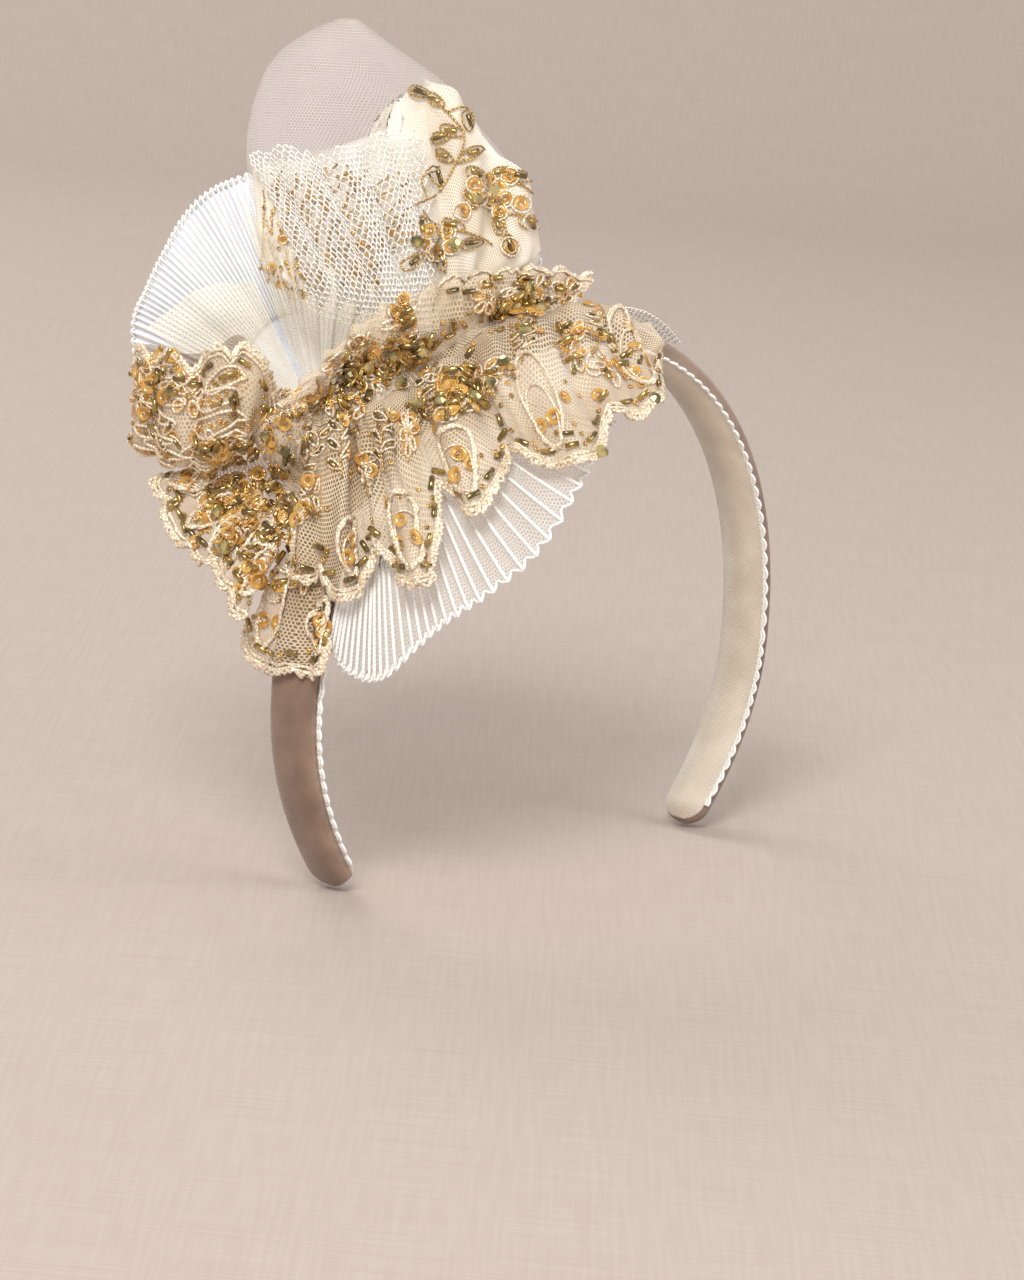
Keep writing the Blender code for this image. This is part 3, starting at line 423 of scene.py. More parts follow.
@dataclass(frozen=True)
class BeadFinish(Finish):
    """Glass, lined or metallic beads, each a little different in tone."""

    metal: float = 0.0
    rough: float = 0.15
    coat: float = 0.6
    clear: float = 0.0
    film: float = 0.0

    def wire(self, n: Nodes) -> None:
        """Wires the finish's own nodes."""
        where = n.add("ShaderNodeTexCoord").outputs["Object"]
        cloud = n.noise(where, 260.0, 1.0)
        tone = n.tones(cloud, 0.35, 0.65, self)
        n.set(Base_Color=tone, Roughness=self.rough, Metallic=self.metal)
        n.set(Coat_Weight=self.coat, Coat_Roughness=0.05, Transmission_Weight=self.clear)
        n.set(Thin_Film_Thickness=self.film, Thin_Film_IOR=1.4)


FINISHES = {look.name: look for look in (
    ClothFinish("band_twill", (0.330, 0.220, 0.160), (0.175, 0.108, 0.075), 0.0009),
    ClothFinish("facing", (0.80, 0.72, 0.60), (0.62, 0.53, 0.42), 0.0006, False),
    NetFinish("white_net", (0.90, 0.91, 0.96), (0.80, 0.83, 0.91), 0.0009, 0.42, 0.90, 1.0, 0.3),
    NetFinish("fan_net", (0.86, 0.84, 0.80), (0.74, 0.71, 0.65), 0.0013, 0.28, 0.10, 0.70),
    NetFinish("sheer_net", (0.94, 0.90, 0.89), (0.80, 0.76, 0.77), 0.00095, 0.30, 0.05, 0.27),
    NetFinish("ivory_net", (0.97, 0.92, 0.82), (0.88, 0.79, 0.64), 0.0008, 0.45, 0.80, 1.0, 0.3, 0.0, 0.094),
    NetFinish("panel_net", (0.97, 0.90, 0.77), (0.84, 0.71, 0.54), 0.0008, 0.45, 0.34, 0.78, 0.3, 0.012),
    NetFinish("underlay_net", (0.95, 0.90, 0.78), (0.86, 0.78, 0.63), 0.0009, 0.42, 0.22, 0.60, 0.3, 0.003),
    NetFinish("lace_net", (0.88, 0.73, 0.52), (0.62, 0.46, 0.28), 0.00105, 0.30, 0.20, 0.92, 0.5),
    ThreadFinish("net_thread", (0.97, 0.96, 0.93), (0.90, 0.87, 0.82), 0.0, 0.7),
    ThreadFinish("gold_cord", (1.0, 0.91, 0.75), (0.72, 0.55, 0.35), 0.3, 0.28),
    ThreadFinish("gold_thread", (0.70, 0.46, 0.16), (0.32, 0.18, 0.05), 0.65, 0.30),
    ThreadFinish("white_thread", (0.97, 0.97, 0.96), (0.90, 0.89, 0.86), 0.0, 0.6),
    BeadFinish("sequin", (0.86, 0.50, 0.12), (0.62, 0.30, 0.05), 0.12, 0.10, 1.0, 0.15),
    BeadFinish("bugle", (0.50, 0.33, 0.09), (0.15, 0.10, 0.025), 0.75, 0.12, 1.0),
    BeadFinish("seed", (0.84, 0.50, 0.14), (0.36, 0.20, 0.04), 0.7, 0.14, 1.0),
    BeadFinish("crystal", (0.72, 0.58, 0.25), (0.16, 0.13, 0.045), 0.75, 0.04, 1.0),
)}


@cache
def finish(name: str) -> bpy.types.Material:
    """The named finish's material, made once."""
    return FINISHES[name].build()


# Pieces


def put(name: str, data: bpy.types.ID) -> bpy.types.Object:
    """Puts a mesh, light or camera in the scene.

    Args:
        name: The name that it gets.
        data: The mesh, light or camera.

    Returns:
        The object.
    """
    obj = bpy.data.objects.new(name, data)
    bpy.context.scene.collection.objects.link(obj)
    return obj


def piece(name: str, mesh: bpy.types.Mesh, look: str, replaced: str = "") -> bpy.types.Object:
    """Puts a mesh in the scene as a piece of the headband.

    Args:
        name: The piece's name.
        mesh: Its mesh, in the frame's own place.
        look: Its finish.
        replaced: The CAD node that it stands for, if any.

    Returns:
        The piece, riding on the headband.
    """
    obj = put(name, mesh)
    mesh.materials.append(finish(look))
    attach(obj, "root")
    if replaced:
        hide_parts(replaced)
    LOG.info("%s: %d faces", name, len(mesh.polygons))
    return obj


def mesh_of(name: str, points: list, faces: list, uvs: list | None = None) -> bpy.types.Mesh:
    """A smooth mesh.

    Args:
        name: Its name.
        points: Its vertices.
        faces: Each face's vertices.
        uvs: Each vertex's place on the cloth, in metres.

    Returns:
        The mesh.
    """
    mesh = bpy.data.meshes.new(name)
    mesh.from_pydata([tuple(p) for p in points], [], faces)
    layer = mesh.uv_layers.new(name="cloth")
    if uvs:
        for loop in mesh.loops:
            layer.data[loop.index].uv = uvs[loop.vertex_index]
    mesh.shade_smooth()
    return mesh


def grid_faces(across: int, down: int) -> list[tuple[int, ...]]:
    """The faces of a grid of points, given how many there are each way."""
    return [(k, k + 1, k + down + 1, k + down)
            for i in range(across - 1) for k in range(i * down, i * down + down - 1)]


@dataclass
class Surface:
    """A cloth as a fine grid of points that everything on it is laid by."""

    name: str
    rows: list[list[Vector]]
    width: float = 0.0
    length: float = 0.0
    face: float = 1.0

    def at(self, u: float, v: float) -> Vector:
        """The place at u along and v down the cloth, each from 0 to 1.

        Args:
            u: How far along.
            v: How far down.

        Returns:
            The place.
        """
        a = min(max(u, 0.0), 1.0) * (len(self.rows) - 1)
        b = min(max(v, 0.0), 1.0) * (len(self.rows[0]) - 1)
        i, j = min(int(a), len(self.rows) - 2), min(int(b), len(self.rows[0]) - 2)
        s, t = a - i, b - j
        near = self.rows[i][j].lerp(self.rows[i][j + 1], t)
        return near.lerp(self.rows[i + 1][j].lerp(self.rows[i + 1][j + 1], t), s)

    def frame(self, u: float, v: float) -> tuple[Vector, Vector, Vector, Vector]:
        """The place, the lengths along u and v, and the outward normal.

        Args:
            u: How far along.
            v: How far down.

        Returns:
            The four vectors.
        """
        step = 0.004
        along = (self.at(u + step, v) - self.at(u - step, v)) / (min(u + step, 1) - max(u - step, 0))
        down = (self.at(u, v + step) - self.at(u, v - step)) / (min(v + step, 1) - max(v - step, 0))
        normal = along.cross(down)
        normal = normal.normalized() * self.face if normal.length > 1e-12 else OUT.copy()
        return self.at(u, v), along, down, normal

    def walk(self, start: Uv, x: float, y: float) -> Uv:
        """Moves x metres along and y metres down the cloth as it lies."""
        _, along, down, _ = self.frame(*start)
        return start[0] + x / max(along.length, 0.004), start[1] + y / max(down.length, 0.004)

    def measured(self) -> "Surface":
        """The same cloth with its width and length as it lies, so that its net keeps one size.

        Returns:
            This cloth.
        """
        down = len(self.rows[0]) - 1
        deep = int(down * 0.7)
        self.width = sum((b[deep] - a[deep]).length for a, b in zip(self.rows, self.rows[1:]))
        runs = [sum((row[j + 1] - row[j]).length for j in range(down)) for row in self.rows[::6]]
        self.length = sum(runs) / len(runs)
        return self

    def tree(self) -> BVHTree:
        """The surface's search tree."""
        points = [point for row in self.rows for point in row]
        return BVHTree.FromPolygons(points, grid_faces(len(self.rows), len(self.rows[0])))

    def turned(self) -> "Surface":
        """The same cloth with its normal facing outwards where it is seen from.

        Returns:
            This cloth.
        """
        if self.frame(0.5, 0.5)[3].dot(OUT) < 0:
            self.face = -self.face
        return self

    def mesh(self, hem: Hem | None = None) -> bpy.types.Mesh:
        """The cloth's mesh.

        Args:
            hem: How far down the cloth its hem is at each u.

        Returns:
            The mesh.
        """
        count, deep = len(self.rows), len(self.rows[0])
        points, uvs = [], []
        for i in range(count):
            u = i / (count - 1)
            reach = hem(u) if hem else 1.0
            for j in range(deep):
                v = j / (deep - 1) * reach
                points.append(self.at(u, v))
                uvs.append((u * self.width, v * self.length))
        faces = grid_faces(count, deep)
        if self.face > 0:
            faces = [face[::-1] for face in faces]
        return mesh_of(self.name, points, faces, uvs)


@dataclass
class RibCloth:
    """Cloth through ribs of control points, laid where its CAD node lies, with small folds of its own."""

    name: str
    node: str
    ribs: list[list[Vector]]
    across: int
    along: int
    folds: float = 0.0
    depth: float = 0.0
    snapped: bool = True

    def surface(self) -> Surface:
        """Makes the fine grid.

        Returns:
            The cloth's surface, its outward side found.
        """
        tree = tree_of(self.node)
        wild = random.Random(self.name)
        phase = [any_turn(wild) for _ in range(3)]
        base = []
        for i in range(self.across + 1):
            u = i / self.across
            rib = [smooth([r[k] for r in self.ribs], u) for k in range(len(self.ribs[0]))]
            row = []
            for j in range(self.along + 1):
                point = smooth(rib, j / self.along)
                near, _, _, gap = tree.find_nearest(point)
                row.append(near if self.snapped and gap > 0.0006 else point)
            base.append(row)
        flat = Surface(self.name, base).turned()
        rows = []
        for i, row in enumerate(base):
            u, fresh = i / self.across, []
            for j, point in enumerate(row):
                v = j / self.along
                wave = math.sin(math.tau * self.folds * u + phase[0] + 1.2 * v)
                wave += 0.5 * math.sin(math.tau * self.folds * 1.9 * u + phase[1])
                wave += 0.3 * math.sin(14 * u + 9 * v + phase[2])
                rise = self.depth * wave * min(v * 2.2, 1.0)
                fresh.append(point + flat.frame(u, v)[3] * rise)
            rows.append(fresh)
        return Surface(self.name, rows, face=flat.face).measured()


def sheet(name: str, cloth: Surface, look: str, replaced: str = "",
          hem: Hem | None = None) -> None:
    """Puts a gathered cloth in the scene."""
    net = piece(name, cloth.mesh(hem), look, replaced)


# Beads, cords and net

class Bead(Enum):
    """The kinds of bead, each with its finish."""

    SEQUIN = "sequin"
    BUGLE = "bugle"
    SEED = "seed"


SEED_RADIUS = 0.00046
SEED_THICK = 0.00028
BUGLE_RADIUS = 0.00078
BUGLE_LENGTH = 0.0036
BUGLE_CHAMFER = 0.00015
SEQUIN_RADIUS = 0.0019
SEQUIN_THICK = 0.00014
SEQUIN_RINGS = ((0.72, -0.00028), (0.40, -0.00022))
BEAD_LIFT = {Bead.SEQUIN: 0.0008, Bead.BUGLE: 0.0009, Bead.SEED: 0.0005}


def bead_shape(kind: Bead) -> tuple[list[Vector], list[tuple[int, ...]]]:
    """Models one bead, lying in the XY plane or along X, and takes its mesh away again.

    Args:
        kind: Which bead.

    Returns:
        Its vertices and faces.
    """
    bpy.ops.object.select_all(action="DESELECT")
    if kind is Bead.SEED:
        bpy.ops.mesh.primitive_torus_add(major_segments=8, minor_segments=5,
                                         major_radius=SEED_RADIUS, minor_radius=SEED_THICK)
    elif kind is Bead.BUGLE:
        bpy.ops.mesh.primitive_cylinder_add(vertices=7, radius=BUGLE_RADIUS, depth=BUGLE_LENGTH,
                                            rotation=(0, math.pi / 2, 0))
        bpy.ops.object.transform_apply(rotation=True)
        bpy.ops.object.mode_set(mode="EDIT")
        bpy.ops.mesh.select_all(action="SELECT")
        bpy.ops.mesh.bevel(offset=BUGLE_CHAMFER, segments=1)
        bpy.ops.object.mode_set(mode="OBJECT")
    else:
        bpy.ops.mesh.primitive_circle_add(vertices=12, radius=SEQUIN_RADIUS)
        bpy.ops.object.mode_set(mode="EDIT")
        bpy.ops.mesh.select_all(action="SELECT")
        for size, drop in SEQUIN_RINGS:
            bpy.ops.mesh.extrude_edges_move(TRANSFORM_OT_translate={"value": (0, 0, drop)})
            bpy.ops.transform.resize(value=(size, size, 1.0))
        bpy.ops.object.mode_set(mode="OBJECT")
    obj = bpy.context.object
    if kind is Bead.SEQUIN:
        wall = obj.modifiers.new("wall", "SOLIDIFY")
        wall.thickness = SEQUIN_THICK
        bpy.ops.object.modifier_apply(modifier="wall")
    shape = [v.co.copy() for v in obj.data.vertices], [tuple(p.vertices) for p in obj.data.polygons]
    bpy.data.objects.remove(obj, do_unlink=True)
    return shape


@dataclass
class Beadwork:
    """Gathers beads, cords and threads, then makes one piece of each kind."""

    owner: str
    beads: dict[Bead, list[Matrix]] = field(default_factory=lambda: {kind: [] for kind in Bead})
    cords: dict[str, list[tuple[list[Vector], list[Vector], float]]] = field(default_factory=dict)

    def bead(self, kind: Bead, point: Vector, normal: Vector, along: Vector, size: float = 1.0) -> None:
        """Sews one bead on.

        Args:
            kind: Which bead.
            point: Where on the cloth.
            normal: The cloth's outward normal.
            along: The direction that a long bead points.
            size: Its size against a usual one.
        """
        x = (along - normal * along.dot(normal)).normalized()
        y = normal.cross(x)
        turn = Matrix((x, y, normal)).transposed().to_4x4()
        seat = Matrix.Translation(point + normal * BEAD_LIFT[kind] * size)
        self.beads[kind].append(seat @ turn @ Matrix.Scale(size, 4))

    def cord(self, look: str, points: list[Vector], normals: list[Vector], radius: float) -> None:
        """Lays a cord through points on the cloth."""
        if len(points) > 1:
            self.cords.setdefault(look, []).append((points, normals, radius))

    def finish(self) -> None:
        """Makes the pieces."""
        for kind, places in self.beads.items():
            if not places:
                continue
            shape, sides = bead_shape(kind)
            points, faces = [], []
            for matrix in places:
                start = len(points)
                points += [matrix @ p for p in shape]
                faces += [tuple(k + start for k in side) for side in sides]
            piece(f"{self.owner}_{kind.value}s", mesh_of(kind.value, points, faces), kind.value)
        for look, lines in self.cords.items():
            points, faces, uvs = [], [], []
            for line in lines:
                sweep(*line, points, faces, uvs)
            piece(f"{self.owner}_{look}", mesh_of(look, points, faces, uvs), look)


def sweep(line: list[Vector], normals: list[Vector], radius: float, points: list, faces: list, uvs: list,
          sides: int = 6) -> None:
    """Adds a closed round cord along a line.

    Args:
        line: The points that it follows.
        normals: The cloth's normal at each point.
        radius: Its radius.
        points: Takes its vertices.
        faces: Takes its faces.
        uvs: Takes each vertex's length along and turn round.
        sides: Its faces round.
    """
    start, run = len(points), 0.0
    for i, point in enumerate(line):
        ahead = line[min(i + 1, len(line) - 1)] - line[max(i - 1, 0)]
        ahead = ahead.normalized() if ahead.length > 1e-9 else SIDE
        across = ahead.cross(normals[i])
        across = across.normalized() if across.length > 1e-6 else UP
        above = across.cross(ahead)
        run += (point - line[i - 1]).length if i else 0.0
        for k in range(sides):
            turn = math.tau * k / sides
            points.append(point + (across * math.cos(turn) + above * math.sin(turn)) * radius)
            uvs.append((run, k / sides))
    for i in range(len(line) - 1):
        for k in range(sides):
            a, b = start + i * sides + k, start + i * sides + (k + 1) % sides
            faces.append((a, b, b + sides, a + sides))
    faces.append(tuple(start + k for k in reversed(range(sides))))
    faces.append(tuple(start + (len(line) - 1) * sides + k for k in range(sides)))


@dataclass(frozen=True)
class Stitch:
    """A satin stitch: its width, its thread's radius and how often a thread crosses over, a metre."""

    width: float
    radius: float
    crossings: float


@dataclass
class Embroidery:
    """Draws motifs on one cloth."""

    cloth: Surface
    work: Beadwork
    lift: float = 0.0004
    hem_stitch: Stitch = Stitch(0.0018, 0.00048, 300.0)
    inner_stitch: Stitch = Stitch(0.0007, 0.00026, 200.0)
    lobe_stitch: Stitch = Stitch(0.0012, 0.00042, 320.0)
    hem_inset: float = 0.0006
    inner_inset: float = 0.0024
    bugle_inset: float = 0.0050
    seed_inset: float = 0.0049
    lobe_inset: float = 0.0072
    hem_spacing: float = 0.0036
    usual_lobe: float = 0.022
    leaf_length: float = 0.0052
    leaf_width: float = 0.0026
    ray_spacing: float = 0.0014
    petal_cord: float = 0.00033
    leaf_cord: float = 0.00028
    stem_thread: float = 0.00026
    ray_cord: float = 0.00042
    lobe_cord: float = 0.00030

    def away(self, start: Uv, turn: float, far: float, aside: float = 0.0) -> Uv:
        """The place some metres from another, in a direction round from along the cloth."""
        return self.cloth.walk(start, *turned(far, aside, turn))

    def line(self, places: list[Uv], look: str, radius: float, step: float = 0.0010) -> None:
        """Lays a cord along places on the cloth.

        Args:
            places: Its corners, smoothed between.
            look: Its finish.
            radius: Its radius.
            step: The length between its rings.
        """
        ends = [Vector((u, v, 0.0)) for u, v in places]
        corners = [self.cloth.at(u, v) for u, v in places]
        rough = sum((a - b).length for a, b in zip(corners, corners[1:]))
        count = max(int(rough / step), 2)
        line, normals = [], []
        for k in range(count + 1):
            u, v, _ = smooth(ends, k / count)
            if not (-0.01 < u < 1.01 and -0.01 < v < 1.02):
                continue
            point, _, _, normal = self.cloth.frame(u, v)
            line.append(point + normal * (self.lift + radius * 0.6))
            normals.append(normal)
        self.work.cord(look, line, normals, radius)

    def petal(self, start: Uv, turn: float, length: float, width: float, look: str, radius: float) -> None:
        """A teardrop loop of cord from a place, in a direction."""
        self.line(self.teardrop(start, turn, length, width), look, radius, 0.0009)

    def teardrop(self, start: Uv, turn: float, length: float, width: float, steps: int = 10) -> list[Uv]:
        """The places round a teardrop loop, as for a petal.

        Args:
            start: Where its point is.
            turn: Its direction.
            length: Its length.
            width: Its width.
            steps: Its corners.

        Returns:
            The places.
        """
        ring = []
        for k in range(steps + 1):
            t = math.tau * k / steps
            x = length * (1 - math.cos(t)) / 2
            y = width * math.sin(t) * (0.4 + 0.6 * x / length) / 2
            ring.append(self.away(start, turn, x, y))
        return ring

    def bead(self, kind: Bead, where: Uv, turn: float = 0.0, size: float = 1.0) -> None:
        """Sews a bead on at a place, a long one pointing at an angle round from along the cloth.

        Args:
            kind: Which bead.
            where: Its place on the cloth.
            turn: Its direction.
            size: Its size against a usual one.
        """
        if -0.005 < where[0] < 1.005 and -0.005 < where[1] < 1.0:
            point, along, down, normal = self.cloth.frame(*where)
            way = along.normalized() * math.cos(turn) + down.normalized() * math.sin(turn)
            self.work.bead(kind, point, normal, way, size)

    def flower(self, middle: Uv, petals: int, reach: float, turn: float) -> None:
        """A flower: petals of cord with a sequin in each, round a seed bead.

        Args:
            middle: Its middle.
            petals: How many petals.
            reach: How far they reach.
            turn: The first petal's direction.
        """
        for k in range(petals):
            angle = turn + math.tau * k / petals
            start = self.away(middle, angle, reach * 0.22)
            self.petal(start, angle, reach * 0.85, reach * 0.70, "gold_cord", self.petal_cord)
            self.bead(Bead.SEQUIN, self.away(middle, angle, reach * 0.68), angle, 0.95)
        for k in range(3):
            angle = turn + 2.1 * k
            self.bead(Bead.SEED, self.away(middle, angle, 0.0009), angle)

    def spray(self, start: Uv, turn: float, length: float, leaves: int, bend: float) -> None:
        """A stem with leaves to either side and a bugle in each leaf.

        Args:
            start: Where it springs from.
            turn: Its direction.
            length: Its length.
            leaves: How many pairs of leaves.
            bend: How far it turns along its length, in radians.
        """
        stem, where, angle = [start], start, turn
        steps = leaves * 2
        for k in range(steps):
            where = self.away(where, angle, length / steps)
            stem.append(where)
            angle += bend / steps
            side = 1 if k % 2 else -1
            leaf = angle + side * 0.9
            self.petal(where, leaf, self.leaf_length, self.leaf_width, "gold_cord", self.leaf_cord)
            self.bead(Bead.BUGLE, self.away(where, leaf, 0.0029), leaf, 0.72)
        self.line(stem, "gold_thread", self.stem_thread)
        self.bead(Bead.SEQUIN, where, angle, 0.9)

    def satin(self, places: list[Uv], stitch: Stitch, seed: int) -> None:
        """A satin-stitched edging: three threads that wander side to side beside a straight one.

        Args:
            places: Its middle line.
            stitch: Its stitch.
            seed: The seed of the threads' unevenness.
        """
        wild = random.Random(seed)
        for strand in range(4):
            phase, speed = any_turn(wild), stitch.crossings * wild.uniform(0.8, 1.2)
            line, normals, run, last = [], [], 0.0, None
            for u, v in places:
                point, along, _, normal = self.cloth.frame(u, v)
                run += (point - last).length if last else 0.0
                last = point
                across = normal.cross(along).normalized()
                turn = phase + run * speed * math.tau
                swing = math.sin(turn) * stitch.width / 2 if strand else stitch.width * 0.42
                rise = stitch.radius * (0.8 + 0.7 * math.cos(turn))
                line.append(point + across * swing + normal * (self.lift + rise))
                normals.append(normal)
            self.work.cord("gold_cord", line, normals, stitch.radius)

    def hem(self, edge: Hem, low: float, high: float, lobes: tuple[float, ...]) -> None:
        """The scalloped edge: satin cord, with beads just inside it and a petal in each lobe.

        Args:
            edge: How far down the cloth its hem is at each u.
            low: Where the edging starts.
            high: Where it ends.
            lobes: Where the scallops that get a petal meet.
        """
        corners = [self.cloth.at(k / 60, edge(k / 60)) for k in range(61)]
        length = sum((b - a).length for a, b in zip(corners, corners[1:])) * (high - low)
        count = int(length / 0.0009)
        places = [low + (high - low) * k / count for k in range(count + 1)]

        def inset(u: float, by: float) -> Uv:
            """The place some metres inside the hem."""
            return u, edge(u) - by / max(self.cloth.frame(u, edge(u))[2].length, 0.004)

        self.satin([inset(u, self.hem_inset) for u in places], self.hem_stitch, 7)
        self.satin([inset(u, self.inner_inset) for u in places[::2]], self.inner_stitch, 8)
        run, last, number = 0.0, None, 0
        for k in range(8 * count):
            u = low + (high - low) * k / (8 * count)
            point = self.cloth.at(u, edge(u))
            run += (point - last).length if last else 0.0
            last = point
            if run > self.hem_spacing:
                run, number = 0.0, number + 1
                if number % 2:
                    self.bead(Bead.BUGLE, inset(u, self.bugle_inset))
                elif number % 4:
                    self.bead(Bead.SEED, inset(u, self.seed_inset))
        for k, (left, right) in enumerate(zip(lobes, lobes[1:])):
            u = (left + right) / 2
            wide = (self.cloth.at(right, 0.95) - self.cloth.at(left, 0.95)).length
            self.lobe(inset(u, self.lobe_inset), k, min(max(wide / self.usual_lobe, 0.65), 1.25))

    def lobe(self, foot: Uv, number: int, size: float) -> None:
        """A petal outline inside a scallop, open to the hem, holding two or three sequins.

        Args:
            foot: The middle of the scallop, just inside the hem.
            number: The scallop's number.
            size: Its size against a usual one.
        """
        lean = -math.pi / 2 + 0.12 * (number % 3 - 1)
        start = self.cloth.walk(foot, 0.0, 0.0016)
        self.satin(self.teardrop(start, lean, 0.0165 * size, 0.0150 * size, 40), self.lobe_stitch, number)
        self.petal(start, lean, 0.0125 * size, 0.0100 * size, "gold_cord", self.lobe_cord)
        for x, y in ((-0.0022, -0.0042), (0.0024, -0.0050), (0.0002, -0.0088))[:2 + number % 2]:
            self.bead(Bead.SEQUIN, self.cloth.walk(foot, x * size, y * size), 0.0, 1.1)

    def ray(self, start: Uv, turn: float, length: float) -> None:
        """A long teardrop filled with seed beads, outlined in silvery cord.

        Args:
            start: Where its point is.
            turn: Its direction.
            length: Its length.
        """
        self.petal(start, turn, length, length * 0.34, "gold_cord", self.ray_cord)
        for k in range(1, int(length / self.ray_spacing)):
            far = k * self.ray_spacing
            side = 0.0005 * (-1) ** k
            self.bead(Bead.SEED, self.away(start, turn, far, side), turn, 0.95)

    def strew(self, kind: Bead, count: int, box: tuple[float, ...], size: float, seed: int) -> None:
        """Scatters beads in a part of the cloth, from u and v low to high.

        Args:
            kind: Which bead.
            count: How many.
            box: The lowest and highest u, then v.
            size: Their size against a usual one.
            seed: The seed of their places.
        """
        wild = random.Random(seed)
        for _ in range(count):
            where = wild.uniform(box[0], box[1]), wild.uniform(box[2], box[3])
            self.bead(kind, where, any_turn(wild), size * wild.uniform(0.85, 1.1))


def net_mesh(cloth: Surface, pitch: float, radius: float, seed: int) -> bpy.types.Mesh:
    """A coarse hexagonal net of real threads, laid over a cloth.

    Args:
        cloth: The surface that it follows.
        pitch: The size of its holes.
        radius: Its threads' radius.
        seed: The seed of its small unevenness.

    Returns:
        The net's mesh.
    """
    wild = random.Random(seed)
    side = pitch / math.sqrt(3.0)
    columns, rows = int(cloth.width / pitch) + 1, int(cloth.length / (1.5 * side)) + 1
    spots: dict[tuple[int, int, int], Vector] = {}
    points, faces, uvs = [], [], []

    def spot(i: int, j: int, kind: int) -> Vector:
        """The low or high knot of a cell, on the cloth.

        Args:
            i: Its column.
            j: Its row.
            kind: 0 for the low knot, 1 for the high one.

        Returns:
            The place, as u and v.
        """
        key = (i, j, kind)
        if key not in spots:
            x = (i + 0.5 * (j % 2)) * pitch + wild.uniform(-0.16, 0.16) * pitch
            y = j * 1.5 * side + (0.5 * side if kind else 0.0) + wild.uniform(-0.10, 0.10) * pitch
            spots[key] = Vector((x / cloth.width, y / cloth.length, 0.0))
        return spots[key]

    for j in range(rows):
        for i in range(columns):
            low, high = spot(i, j, 0), spot(i, j, 1)
            right = i + (j % 2)
            links = [(low, high), (high, spot(right, j + 1, 0)), (high, spot(right - 1, j + 1, 0))]
            for a, b in links:
                if not all(0 <= p[0] <= 1 and 0 <= p[1] <= 1 for p in (a, b)):
                    continue
                ends = [cloth.frame(p[0], p[1]) for p in (a, b)]
                line = [e[0] + e[3] * 0.0002 for e in ends]
                sweep(line, [e[3] for e in ends], radius, points, faces, uvs, 4)
    return mesh_of("net", points, faces, uvs)


# The band

